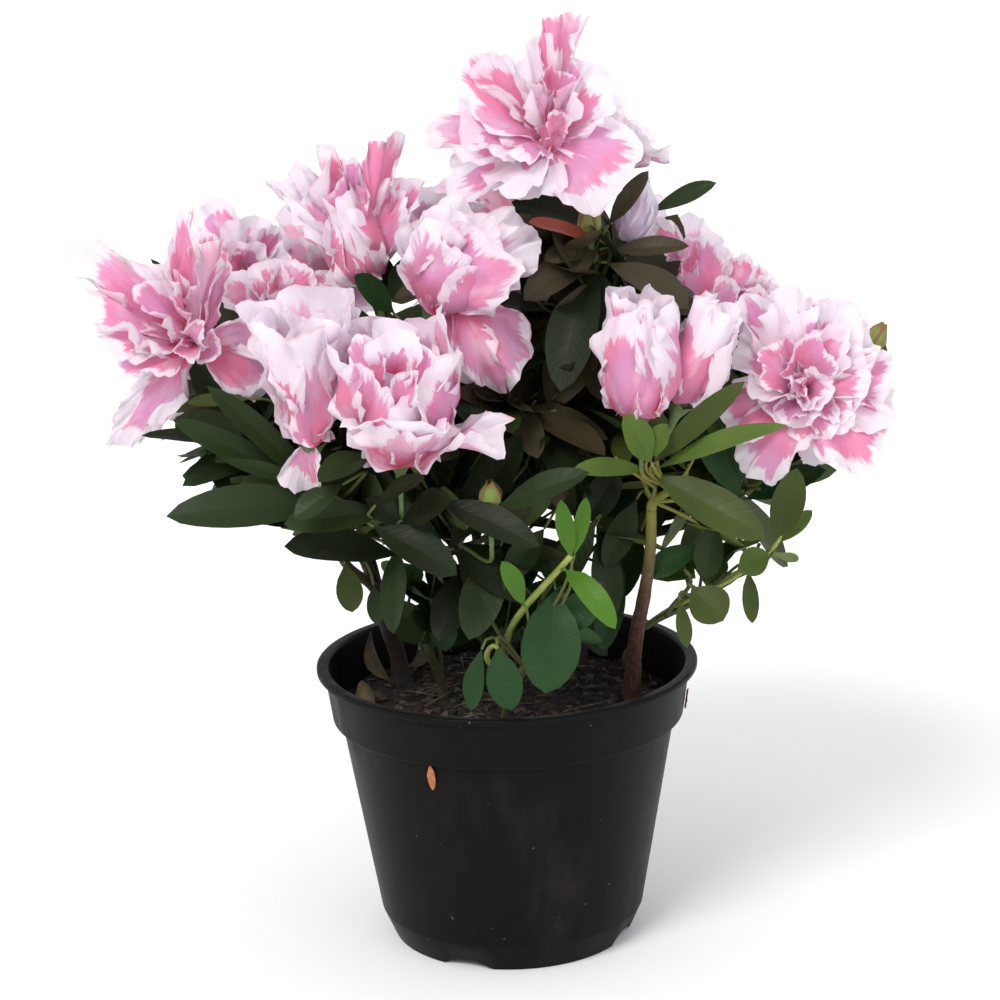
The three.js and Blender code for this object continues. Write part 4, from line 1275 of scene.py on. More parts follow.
OPEN = [
    *ring(5, 10, 74, 16, 31, 14, 0.15, 0.4, 0.8),
    *ring(5, 46, 58, 18, 28, 12, 0.25, 0.45, 0.9),
    *ring(5, 5, 38, 14, 22, 9, 0.4, 0.35, 0.9),
    *ring(4, 30, 18, 8, 16, 7, 0.6, 0.4, 0.8),
]
HALF_OPEN = [
    *ring(5, 25, 42, 12, 30, 13, 0.4, 0.4, 0.7),
    *ring(5, 60, 28, 10, 27, 11, 0.5, 0.4, 0.8),
    *ring(4, 10, 12, 4, 22, 8, 0.6, 0.4, 0.8),
]
TOP_PLACED = [
    (20, 23, -6, 13, 20, 0.15, 0, 1.1, 0.2),
    (5.5, 40, 1, 6.5, 6, 0.5, -14, 0.12, 1.0),
    (-1.5, 33, 0, 9.5, 8, 0.3, 22, 2.4, 0.2),
    (-28, 24, 3, 12, 20, 0.15, 10, 0.35, 0.4),
    (-21, 28, 1, 6, 20, 0.3, 0, 0.3, 1.0),
    (-38, 2, 6, 9.5, 22, 0.25, 15, 0.3, 0.6),
    (-31, 7, 8, 13, 26, 0.15, 10, 0.75, 0.2),
    (25, 3, 4, 11, 18, 0.15, 0, 1.3, 0.2),
    (19, 16, 6, 9, 18, 0.2, -10, 0.6, 0.6),
    (-34, -16, 9, 10, 24, 0.25, 0, 0.7, 0.4),
    (-7, -21, 11, 10, 36, 0.2, 0, 1.3, 0.3),
    (-19, -16, 13, 11, 30, 0.3, 0, 1.1, 0.2),
    (23, -16, 14, 17, 26, 0.15, 0, 0.4, 0.35),
    (-16, -5, 12, 9, 40, 0.3, 10, 0.8, 0.2),
    (-7, 18, 7, 5.5, 14, 0.5, 25, 1.3, 0.4),
    (9, 19, 7, 6, 14, 0.4, -25, 1.2, 0.4),
    (2.5, 23, 8, 4.5, 8, 1.0, -20, 0.05, 1.0),
    (3, 8, 11, 4, 40, 0.8, 30, 0.3, 1.0),
    (1, 5, 5, 4, 30, 0.4, 0, 0.05, 1.0, (-0.5, -4.5, 2.5)),
]
TOP_SIDE_PETALS = [
    *ring(5, 20, 34, 10, 24, 10, 0.5, 0.6, 0.6),
    *ring(4, 50, 18, 6, 20, 8, 0.6, 0.5, 0.7),
]
BELL_PLACED = [
    (28, 26, -8, 9, 24, 0.2, 0, 0.8, 0.5),
    (10, 32, -6, 10, 24, 0.2, 0, 0.7, 0.6),
    (0, 31, -2, 10, 22, 0.3, 10, 0.6, 0.7),
    (34, 20, 0, 8.5, 34, 0.3, -10, 0.8, 0.4),
    (6, 30, 4, 9, 60, 0.3, 0, 0.8, 0.5),
    (-8.5, 25, 4, 7, 20, 0.5, 30, 0.6, 0.6),
    (20, 25, 6, 9, 44, 0.25, -10, 0.75, 0.4),
    (-6, 22, 7, 4.5, 24, 0.6, 30, 0.5, 0.6),
    (28, 8, 6, 9, 34, 0.15, -10, 1.1, 0.3),
    (3, 23, 12, 12, 50, 0.2, 0, 0.34, 0.3),
    (24, 18, 16, 15.5, 46, 0.12, 0, 0.34, 0.25),
    (14, -27, 2, 11, 20, 0.15, 10, 0.75, 0.4, (3, -1, 2)),
    (25, -26, 4, 12.5, 26, 0.15, -6, 0.2, 0.8, (6, 2, 3)),
]
UPRIGHT_PLACED = [
    (-5, 37, -7, 8, 10, 0.3, 0, 0.6, 0.8),
    (-21.5, 35, -5, 7.5, 14, 0.3, 10, 0.7, 0.8),
    (16, 33, 0, 8.5, 18, 0.3, -10, 0.6, 0.5),
    (-12, 42, 0, 6, 12, 0.5, 10, 0.4, 1.0),
    (9, 44, 2, 6, 6, 0.35, -8, 0.14, 0.7),
    (-4, 34, 3, 6, 10, 0.9, 0, 0.04, 1.0),
    (13, 24, 4, 7, 18, 0.3, -20, 0.3, 0.7),
    (-28, 33, 3, 9, 30, 0.3, 15, 1.0, 0.6),
    (-21, 27, 5, 7, 14, 0.4, 30, 0.6, 1.0),
]
UPRIGHT_WRAP = [
    (94, 56, 0.98, 1.0, 0.3, 1.2, 0.1),
    (172, 66, 1.0, 0.96, 0.8, 0.14, 1.0),
    (14, 66, 1.02, 0.97, 0.8, 0.3, 0.7),
    (132, 50, 1.06, 0.86, 1.2, 0.6, 0.9),
    (56, 50, 1.06, 0.86, 1.2, 0.9, 0.6),
    (-80, 90, 1.02, 0.94, 0.8, 0.6, 0.8),
    (-20, 62, 1.0, 0.6, 1.2, 0.4, 1.0),
    (150, 62, 0.98, 0.58, 1.2, 0.4, 1.0),
]
LEFT_PLACED = [
    (-20, 24, -8, 12, 16, 0.2, 0, 0.5, 0.8),
    (7.6, 33, -3, 7, 10, 0.3, 0, 0.1, 1.0),
    (23, -16, -5, 8, 16, 0.2, 0, 0.85, 0.6),
    (23.5, -7, -3, 13.5, 14, 0.15, 0, 0.3, 0.8),
    (-27.5, -33, 2, 7.5, 14, 0.25, 0, 0.55, 0.9),
    (-35, 33, 4, 7.5, 12, 0.4, 10, 0.42, 1.0),
    (0.5, 41, 2, 8.5, 16, 0.3, -15, 0.3, 1.0),
    (6.5, 35, 6, 4.5, 10, 1.2, -60, 0.1, 1.0),
    (-33, 14, 7, 11, 24, 0.2, 10, 0.28, 0.8),
    (-30, 4, 8, 9, 30, 0.3, 0, 0.4, 0.8),
    (-15, 19, 10, 6.5, 20, 0.5, 20, 0.3, 1.0),
    (-24, -6, 10, 6.5, 26, 0.9, -20, 0.25, 1.0),
    (-19, 0, 12, 5.5, 26, 0.6, 10, 0.3, 1.0),
    (-6, 22, 8, 5, 12, 0.9, 30, 0.3, 1.0),
    (3, 5, 12, 4.5, 50, 0.7, 0, 0.4, 1.0),
    (8, -4, 8, 5.5, 30, 0.5, 0, 0.3, 1.0),
    (-3, -5, 13, 5, 40, 0.7, 0, 0.3, 1.0),
]
BEHIND_LEFT_PLACED = [
    (12.5, 13, -2, 9, 20, 0.2, 0, 0.8, 0.5),
    (-10.5, 25, -2, 7.5, 14, 0.3, 10, 0.7, 0.8),
    (4.5, 21, 0, 9.5, 20, 0.2, 0, 0.5, 0.5),
    (-14, 14, 3, 8, 20, 0.3, 0, 0.6, 0.8),
    (3, 11, 7, 8, 30, 0.4, 0, 0.6, 0.6),
    (-5, 5, 9, 7, 30, 0.5, 0, 0.5, 0.8),
]
INNER_LEFT_PLACED = [
    (-17, 12, 2, 10, 24, 0.2, 0, 0.5, 0.9),
    (8, 19, 0, 8, 14, 0.3, 0, 0.25, 1.0),
    (20, 10, -2, 9, 20, 0.2, 0, 0.5, 0.8),
    (-6, 20, 1, 8, 20, 0.3, 0, 0.5, 0.8),
    (-10, 0, 8, 8, 40, 0.3, 0, 0.4, 1.0),
    (6, 6, 9, 7, 30, 0.5, 0, 0.5, 1.0),
    (14, -4, 6, 8, 30, 0.3, 0, 0.5, 0.8),
]
BEHIND_RIGHT_PLACED = [
    (-16, 33, 4, 5, 16, 0.3, 10, 0.6, 0.8, (-3.5, 19.5, 2)),
    (5.5, 25.5, 4, 7, 12, 0.2, 0, 1, 0.3, (2, 6.5, 2)),
    (-0.5, 28, 7, 7.5, 10, 0.25, 0, 0.22, 0.3, (0, 2.5, 5)),
    (-3, 27, 8, 3, 10, 0.7, 40, 0.08, 1, (-6.5, 12.5, 6)),
    (16, 20.5, 6, 4.5, 16, 0.3, 0, 0.45, 0.7, (10.5, 9.5, 4)),
    (9.5, 13.5, 9, 5, 16, 0.3, 0, 0.35, 0.5, (5.5, 2, 7)),
    (17, 10.5, 9, 4, 12, 0.3, 0, 0.45, 0.5, (21, -3, 7)),
    (22.5, 1, 11, 7, 16, 0.2, 0, 1.6, 0.2, (12.5, -7, 9)),
    (8, 1, 11, 6, 16, 0.3, 0, 1.4, 0.2, (4, -7.5, 9)),
]
ROSETTE_PLACED = [
    (-18, 32, -3, 7.5, 20, 0.25, 0, 0.45, 0.7),
    (-6, 33, -2, 9.5, 26, 0.35, 0, 1.0, 0.4),
    (14, 31, -1, 9.5, 22, 0.4, -15, 0.5, 1.0),
    (22, 20, -2, 10.5, 24, 0.2, 0, 1.0, 0.4),
    (30, 6, 0, 10, 26, 0.2, 0, 0.4, 0.6),
    (30, -8, 0, 10, 26, 0.2, 0, 1.1, 0.3),
    (9, -25, 1, 9.5, 30, 0.2, 0, 1.1, 0.3),
    (25, -22, 4, 14.5, 24, 0.12, 0, 0.34, 0.1),
    (-17, -27, 3, 12, 34, 0.3, 0, 0.35, 1.0),
    (-26, -9, 1, 10.5, 26, 0.2, 0, 0.4, 0.3),
    (-22, 17, 1, 9.5, 24, 0.25, 0, 1.0, 0.4),
    (-19, 5, 7, 8.5, 26, 0.4, 20, 1.1, 0.4),
    (12, 20, 5, 8.5, 28, 0.3, 0, 0.7, 0.6),
    (21, 9, 5, 9, 30, 0.25, 0, 0.35, 0.7),
    (-13, 14, 8, 9, 26, 0.35, 0, 0.12, 1.0),
    (5, 16, 8, 8, 28, 0.4, -10, 0.2, 1.0),
    (17, -5, 8, 8.5, 36, 0.3, 0, 0.35, 0.6),
    (-12, -9, 9, 8, 36, 0.35, 0, 0.3, 0.9),
    (5, -17, 9, 9, 38, 0.3, 0, 0.4, 0.7),
    (-4, -13, 10, 7, 40, 0.35, 0, 0.5, 0.6),
    (13, -13, 8, 7.5, 36, 0.3, 0, 0.5, 0.6),
    (-8, 5, 11, 6, 44, 0.5, 20, 0.15, 1.0),
    (4, 7, 11, 6.5, 50, 0.6, 20, 0.4, 0.3),
    (-4, 2, 12, 5.5, 50, 0.6, -30, 0.45, 0.3),
    (8, -2, 12, 6, 50, 0.6, 10, 0.5, 0.3),
    (-1, -6, 12, 5.5, 54, 0.7, 0, 0.5, 0.3),
    (1, 1, 13, 4, 60, 0.9, 40, 0.5, 0.2),
]
FRONT_PETALS = [
    (112, 64, -6, 36, 8, 0.6, 0.7, 0.9),
    (176, 58, -34, 25, 15, 0.4, 0.45, 1.0),
]
FRONT_PLACED = [
    (2, 40, 15, 8, 70, 0.5, 0, 0.9, 0.9, (-1, 26, 8)),
    (-9, 36, 14, 6, 50, 0.6, -20, 0.3, 1.0, (-6, 20, 10)),
    (10, 33, 15, 6.5, 60, 0.5, 20, 0.5, 1.0, (6, 18, 11)),
    (4, 27, 18, 5, 60, 0.7, 0, 0.35, 1.0, (1, 14, 13)),
]
CURLED_PETALS = [
    (176, 146, 44, 18, 7.5, 0.8, 0.8, 0.3),
]
TULIP_WRAP = [
    (186, 72, 0.93, 1.0, 0.2, 0.8, 0.3),
    (66, 84, 1.0, 0.97, 0.5, 0.9, 0.2),
    (-58, 84, 0.98, 0.94, 0.5, 0.8, 0.3),
    (120, 66, 1.05, 0.84, 1.4, 0.42, 0.9),
    (-10, 66, 1.08, 0.82, 1.4, 0.45, 0.9),
    (-130, 66, 1.03, 0.8, 1.4, 0.4, 0.9),
    (30, 62, 1.0, 0.6, 1.2, 0.4, 1.0),
    (150, 62, 0.98, 0.58, 1.2, 0.4, 1.0),
    (-90, 62, 1.02, 0.56, 1.2, 0.4, 1.0),
    (-30, 70, 0.96, 0.34, 1.0, 0.4, 1.0),
    (140, 70, 0.94, 0.3, 1.0, 0.4, 1.0),
]
FUNNEL_WRAP = [
    (205, 58, 1.0, 1.0, 0.8, 0.62, 0.1),
    (138, 60, 0.94, 0.97, 1.4, 0.7, 0.1),
    (60, 70, 1.04, 0.95, 1.2, 0.6, 0.4),
    (-20, 70, 1.02, 0.92, 1.2, 0.6, 0.4),
    (-80, 62, 1.03, 0.96, 1.6, 0.7, 0.3),
    (20, 60, 1.0, 0.72, 1.4, 0.6, 0.8),
    (130, 60, 0.94, 0.7, 1.4, 0.7, 0.8),
    (-110, 60, 0.98, 0.68, 1.4, 0.6, 0.8),
    (-40, 70, 0.92, 0.42, 1.2, 0.6, 1.0),
    (120, 70, 0.9, 0.38, 1.2, 0.6, 1.0),
]
SLIM_WRAP = [
    (180, 80, 0.95, 1.0, 0.3, 2.3, 0.1),
    (70, 84, 1.0, 0.97, 0.5, 0.75, 0.3),
    (-60, 84, 1.02, 0.94, 0.8, 0.7, 0.3),
    (120, 66, 1.05, 0.8, 1.4, 0.5, 0.9),
    (-10, 66, 1.04, 0.76, 1.4, 0.5, 0.9),
    (40, 62, 1.0, 0.5, 1.2, 0.5, 1.0),
]
FRONT_WRAP = [
    (-86, 56, 0.92, 1.0, 1.2, 0.42, 0.9),
    (-12, 64, 1.0, 0.98, 1.2, 0.4, 0.6),
    (62, 60, 1.04, 0.97, 1.4, 0.4, 0.5),
    (118, 50, 0.86, 0.98, 1.6, 0.7, 0.6),
    (-134, 40, 0.82, 0.94, 1.0, 0.35, 1.0),
    (182, 60, 0.46, 1.04, 3.4, 0.5, 1.0),
    (150, 50, 0.68, 0.86, 1.2, 0.8, 0.5),
    (-40, 170, 0.97, 0.34, 1.6, 0.9, 0.4),
    (100, 60, 0.84, 0.62, 1.4, 0.6, 0.9),
    (-170, 60, 0.62, 0.6, 1.4, 0.3, 1.0),
    (20, 60, 0.92, 0.7, 1.4, 0.5, 0.9),
    (160, 80, 0.6, 0.34, 1.2, 0.2, 1.0),
]
BELL_WRAP = [
    (176, 78, 0.84, 1.05, -0.5, 0.3, 0.35),
    (80, 60, 0.96, 1.0, 1.6, 0.45, 0.4),
    (-84, 62, 0.97, 1.0, 0.6, 0.6, 0.5),
    (0, 80, 1.04, 0.98, 0.3, 0.6, 0.4),
    (130, 56, 0.9, 0.82, 0.4, 0.7, 0.7),
    (-135, 60, 0.92, 0.84, 0.4, 0.7, 0.9),
    (30, 66, 0.98, 0.7, 1.2, 0.5, 0.9),
    (-50, 66, 0.95, 0.56, 1.2, 0.5, 1.0),
    (160, 70, 0.88, 0.5, 1.2, 0.5, 1.0),
    (60, 80, 0.9, 0.3, 1.2, 0.4, 1.0),
]
BUD_WRAP = ring(5, 20, 62, 1.0, 1.0, 0.2, 0.5, 0.2)

BLOOMS = {
    "bloom_top": dict(on="leaves_top", throat=(17.9, -14, 275.5), aim=(-84, 34), placed=TOP_PLACED),
    "bloom_top_side": dict(
        on="leaves_top", throat=(39, 12, 264), aim=(-10, 56), petals=TOP_SIDE_PETALS, scale=0.85),
    "bud_lilac": dict(on="leaves_top", throat=(43, -12, 244), aim=(-20, 72), closed=(19, 6.5), bud="pale"),
    "bud_green": dict(on="leaves_top", throat=(30, -22, 246), aim=(-100, 80), closed=(13, 4), bud="green"),
    "bloom_bell": dict(
        on="leaves_middle", throat=(-20, -34, 228), aim=(-30, 62), closed=(26, 12), wrap=BELL_WRAP,
        head="cup", placed=BELL_PLACED),
    "bloom_upright": dict(
        on="leaves_middle", throat=(-43, -10, 233), aim=(186, 70), closed=(27, 11.5), wrap=UPRIGHT_WRAP,
        placed=UPRIGHT_PLACED),
    "bloom_left": dict(on="leaves_left", throat=(-98, -24, 214), aim=(-110, 30), placed=LEFT_PLACED),
    "bloom_left_behind": dict(
        on="leaves_left", throat=(-85, 20, 228), aim=(112, 58), petals=HALF_OPEN, scale=0.6,
        placed=BEHIND_LEFT_PLACED),
    "bloom_left_inner": dict(
        on="leaves_left", throat=(-72, -6, 218), aim=(-66, 40), petals=HALF_OPEN, scale=0.6,
        placed=INNER_LEFT_PLACED),
    "bloom_front_closed": dict(
        on="leaves_left_low", throat=(-59.6, -59, 191), aim=(-120, 86), closed=(42, 15), wrap=FUNNEL_WRAP,
        head="funnel", petals=CURLED_PETALS),
    "bloom_front": dict(
        on="leaves_front", throat=(-32, -64, 186), aim=(-85, 82), closed=(43, 17.5), wrap=FRONT_WRAP,
        head="cup", petals=FRONT_PETALS, placed=FRONT_PLACED),
    "bud_centre": dict(on="leaves_front", throat=(-4, -62, 168), aim=(-90, 70), closed=(9, 3.6), bud="green"),
    "bloom_right_closed": dict(on="leaves_right", throat=(44, -52, 196), aim=(-100, 86), closed=(36, 12.6)),
    "bloom_right_slim": dict(
        on="leaves_right", throat=(58, -44, 197), aim=(5, 66), closed=(32, 10), wrap=SLIM_WRAP),
    "bloom_right_behind": dict(
        on="leaves_far_right", throat=(67, 6, 212), aim=(-60, 70), petals=HALF_OPEN, scale=0.5,
        placed=BEHIND_RIGHT_PLACED),
    "bloom_rosette": dict(
        on="leaves_far_right", throat=(98, -27, 194.5), aim=(-84, 12), placed=ROSETTE_PLACED),
    "bloom_right_upper": dict(
        on="leaves_far_right", throat=(88, 14, 212), aim=(10, 60), petals=OPEN, scale=0.8),
    "bud_far_right": dict(
        on="leaves_far_right", throat=(122, -6, 202), aim=(10, 60), closed=(11, 4), bud="green"),
    "bloom_back_left": dict(on="leaves_back_left", throat=(-60, 74, 214), aim=(125, 26), petals=OPEN),
    "bloom_left_side": dict(on="leaves_back_left", throat=(-98, 36, 188), aim=(158, 20), petals=HALF_OPEN),
    "bloom_back_high": dict(on="leaves_back", throat=(-22, 50, 228), aim=(112, 62), petals=HALF_OPEN),
    "bloom_back": dict(on="leaves_back", throat=(6, 86, 232), aim=(88, 30), petals=OPEN),
    "bloom_back_low": dict(on="leaves_back", throat=(18, 98, 184), aim=(85, 40), closed=(36, 13)),
    "bloom_back_right": dict(on="leaves_back_right", throat=(62, 72, 208), aim=(62, 24), petals=OPEN),
    "bloom_right_side": dict(on="leaves_back_right", throat=(100, 44, 186), aim=(24, 22), petals=HALF_OPEN),
}


class BloomFrame:
    """The axis of a bloom, its throat, and the foot of its stalk."""

    def __init__(self, bloom):
        self.axis = direction(*bloom["aim"])
        self.upright = square_to(UP, self.axis)
        self.sideways = (-self.axis).cross(self.upright)
        self.throat = Vector(bloom["throat"])
        self.foot = self.throat - self.axis * (STALK_LENGTH + TUBE_LENGTH)

    def radial(self, turn):
        return lean(self.upright, self.sideways, math.radians(turn))


def blossom_node(leaves_node):
    return leaves_node.replace("leaves", "blossom")


BLOOM_FRAMES = {name: BloomFrame(bloom) for name, bloom in BLOOMS.items()}
BLOOMING = sorted({bloom["on"] for bloom in BLOOMS.values()})
BLOSSOM_NODES = [blossom_node(name) for name in BLOOMING]

# Ways that a closed head swells: its radius at even steps of its length
HEADS = {
    "bud": (0.35, 0.8, 1, 0.92, 0.62, 0.2),
    "tulip": (0.5, 0.93, 1, 0.94, 0.78, 0.55),
    "cup": (0.42, 0.82, 0.98, 1.02, 1.0, 0.92),
    "funnel": (0.26, 0.46, 0.68, 0.88, 1.02, 1.1),
}


def petal_margin(v, seed):
    """The margin of a petal, from its foot on one side round the tip to its foot on the other."""
    turn = v * math.pi * 0.93
    lobes = noise.noise(Vector((v * 3.1, seed * 9.1, 0)))
    teeth = noise.noise(Vector((v * 13, seed * 5.3, 3)))
    ragged = 1 + PETAL_LOBES * lobes + PETAL_TEETH * teeth
    along = max((1 + math.cos(turn)) / 2, 0) ** 0.72
    return along * ragged, math.sin(turn) * ragged


def petal_surface(form, seed, ruffle, size):
    """Lays a petal on its form, with long folds and a margin that ripples more towards its edge."""
    phase = seed * 41.0
    waves = 9 + 7 * ((seed * 7.7) % 1)

    def on_form(u, v):
        along, across = petal_margin(v, seed)
        return form(along * u, across * u)

    def surface(u, v):
        step = 0.02
        spot_u, spot_v = min(max(u, 4 * step), 0.97), min(max(v, -0.97), 0.97)
        ahead = on_form(spot_u + step, spot_v) - on_form(spot_u - step, spot_v)
        aside = on_form(spot_u, spot_v + step) - on_form(spot_u, spot_v - step)
        normal = aside.cross(ahead).normalized()
        place = on_form(u, v)
        edge = smooth(0.45, 1.0, u)
        ripple = math.sin(waves * v + phase) + 0.4 * math.sin(waves * 2.3 * v + phase * 2)
        ripple += PETAL_CRINKLE * edge * math.sin(waves * 4.3 * v + phase * 3)
        folds = math.sin(4.2 * v + phase * 1.7) * math.sin(math.pi * min(u * 0.8, 1))
        lumps = noise.noise(place / 8 + Vector((seed * 13, 0, 0)))
        lift = ruffle * (1.3 * edge * ripple + 0.8 * folds) + size * PETAL_LUMPS * lumps * u
        return place + normal * lift

    return surface


def open_petal_form(frame, row, scale, seed):
    turn, opening, curl, length, half_width, cup = row[:6]
    turn += PETAL_STRAY * math.sin(seed * 61)
    opening += PETAL_STRAY * math.sin(seed * 97)
    length *= 1 + PETAL_GROWTH * math.sin(seed * 131)
    radial = frame.radial(turn)
    angle = math.radians(opening)
    blade = Blade(
        frame.throat + radial * 1.2 - frame.axis * 1.5,
        lean(frame.axis, radial, angle), lean(radial, frame.axis, -angle),
        length * scale, half_width * scale, math.radians(curl), cup, PETAL_ROLL,
        math.radians(PETAL_TWIST * math.sin(turn * 5.1 + opening)),
    )
    return blade.point, length * scale


def placed_petal_form(frame, row, seed):
    right, above, before, half_width, sag, cup, turned = row[:7]
    root = Vector(row[9] if len(row) > 9 else (0, 0, 0))
    tip = Vector((right, -before, above + before * math.tan(math.radians(-VIEW_SLOPE))))
    root = Vector((root.x, -root.z, root.y))
    chord = (tip - root).normalized()
    root += chord * 1.5
    front = square_to(Vector(PETAL_FACING), chord)
    facing = lean(front, chord.cross(front), math.radians(turned))
    blade = shown_blade(frame.throat + root, frame.throat + tip, half_width, sag, facing)
    blade.cup, blade.roll = cup, PETAL_ROLL
    blade.twist = math.radians(PLACED_TWIST * math.sin(seed * 53))
    return blade.point, (tip - root).length


def wrap_petal_form(frame, closed, head, row):
    """A petal that lies on the turned form of a closed head and laps over its neighbour."""
    turn, span, reach, swell, flare = row[:5]
    length, radius = closed

    def form(along, across):
        across *= 1 + WRAP_FOOT * max(1 - 2 * along, 0) ** 4
        height = -2 + (length + 2) * along * reach
        width = radius * between((1, swell), smooth(0, 0.4, along)) * along_row(head, along * reach)
        out = width + WRAP_LAP * radius * across + flare * (abs(across) ** 3 + smooth(0.75, 1, along) * 1.5)
        angle = turn + span * across
        return frame.throat + frame.axis * height + frame.radial(angle) * out

    return form, length


def bloom_piece(order, name, bloom):
    """All the petals of one bloom, each with its own square on the bloom's bake map."""
    bm = new_mesh("sheet", "petal")
    frame_of, scale, bud = BLOOM_FRAMES[name], bloom.get("scale", 1), "bud" in bloom
    random = seeded(FIRST_BLOOM_SEED + order)
    petals = []
    if "closed" in bloom:
        head = HEADS["bud" if bud else bloom.get("head", "tulip")]
        for row in BUD_WRAP if bud else bloom.get("wrap", TULIP_WRAP):
            form = wrap_petal_form(frame_of, bloom["closed"], head, row)
            petals.append((*form, *row[5:7], 0 if bud else CLOSED_RUFFLE))
    for row in bloom.get("petals", []):
        petals.append((*open_petal_form(frame_of, row, scale, random()), *row[6:8], 1))
    for row in bloom.get("placed", []):
        petals.append((*placed_petal_form(frame_of, row, random()), *row[7:9], 1))
    side = math.ceil(math.sqrt(len(petals)))
    for index, (form, size, white, depth, ruffling) in enumerate(petals):
        seed = random()
        ruffle = ruffling * size * between(PETAL_RUFFLES, random())
        add_sheet(
            bm, petal_surface(form, seed, ruffle, size), PETAL_COLUMNS, PETAL_ROWS, PETAL_ROW_SPACING,
            (index, side), (white, depth, seed),
        )
    finish_piece(name, bm, PETAL_FINISHES[bloom.get("bud", "petal")], [blossom_node(bloom["on"])])


# Limbs
def bark_relief(seed):
    """Long ridges and short rings of bark, as a share of a limb's radius."""
    def relief(length, turn):
        x, y = math.cos(turn), math.sin(turn)
        ridges = noise.noise(Vector((x * 1.6, y * 1.6, length / 9 + seed * 7)))
        rings = noise.noise(Vector((x * 4, y * 4, length / 2.2 + seed)))
        return ridges * BARK_RIDGES + rings * BARK_RINGS

    return relief


def stems_piece(piece, names, material):
    bm = new_mesh("wood")
    for name in names:
        low, high = STEMS[name][2]
        radii = [radius * share for radius, share in zip((low, low, low, high, high), STEM_SHARES)]
        ages = OLD_WOOD
        if name == "stem_right":
            radii, ages = RIGHT_STEM_RADII, RIGHT_STEM_AGES
        add_limb(bm, stem_curve(name), radii, 16, 46, ages, bark_relief(list(STEMS).index(name)))
    finish_piece(piece, bm, material, names)


def boughs_piece(material):
    """Boughs, each rooted in its stem below the fork."""
    bm = new_mesh("wood")
    for order, (name, (stem, _, _)) in enumerate(BOUGHS.items()):
        below, above = stem_curve(stem), bough_curve(name)
        curve = Sweep(below.at(BOUGH_ROOT_SHARE), below.aim(BOUGH_ROOT_SHARE), above.at(1), above.aim(1))
        add_limb(bm, curve, BOUGH_SWELL, 12, 30, BOUGH_AGES, bark_relief(FIRST_BOUGH_SEED + order))
    finish_piece("boughs", bm, material, list(BOUGHS))


# Where leaves may grow
def keep_outs():
    """Balls round the blooms that leaves stay out of."""
    balls = [(Vector(place), radius) for place, radius in HANGING_PETALS]
    for name, bloom in BLOOMS.items():
        scale = bloom.get("scale", 1)
        reaches = [bloom.get("closed", (0, 0))[0]]
        reaches += [row[3] * scale * OPEN_PETAL_REACH for row in bloom.get("petals", [])]
        reaches += [math.hypot(*row[:3]) * PLACED_PETAL_REACH for row in bloom.get("placed", [])]
        reach = max(reaches)
        found = BLOOM_FRAMES[name]
        balls.append((found.throat + found.axis * reach * BALL_MIDDLE, reach * BALL_RADIUS))
    return balls


def in_open_space(place):
    """True in a tunnel through the crown that is kept open."""
    height = place.z + place.y * math.tan(math.radians(-VIEW_SLOPE))
    return any(math.hypot(place.x - x, height - z) < radius for x, z, radius in OPEN_SPACES)


def in_front_of_bare_stem(place):
    """True in the strip before the right stem, which shows bare from the compost to its fork."""
    foot, fork, _ = STEMS["stem_right"]
    low, high = BARE_STEM_HEIGHTS
    share = (place.z - COMPOST_TOP) / (fork[2] - COMPOST_TOP)
    x, y = between((foot[0], fork[0]), share), between((foot[1], fork[1]), share)
    return low < place.z < high and abs(place.x - x) < BARE_STEM_SIDE and place.y < y + BARE_STEM_BEHIND


def has_room(name, blade, balls):
    """A leaf grows where it keeps to its mass, off the blooms, the bare stem and the compost."""
    spots = [blade.point(share, 0) for share in LEAF_TEST_SHARES]
    _, middle, tip = spots
    front = FRONT_LIMITS.get(name, -math.inf)
    return (
        belongs(name, middle)
        and tip.z >= LOWEST_LEAF_TIP
        and not any(spot.y < front or in_front_of_bare_stem(spot) or in_open_space(spot) for spot in spots)
        and not any((spot - centre).length < limit for spot in spots for centre, limit in balls)
    )


# Twigs and leaves
def side_shoot(twig, lead, fork, turn, reach):
    """A finer shoot that leaves a twig at a share of its length and bends upwards."""
    across = square_to(UP, lead)
    aim = lean(
        lead, lean(across, lead.cross(across), math.radians(turn)), math.radians(SIDE_SHOOT_OPENING),
    )
    start = twig.at(fork)
    return Sweep(start, aim, start + aim * reach, (aim + UP * SHOOT_LIFT).normalized())


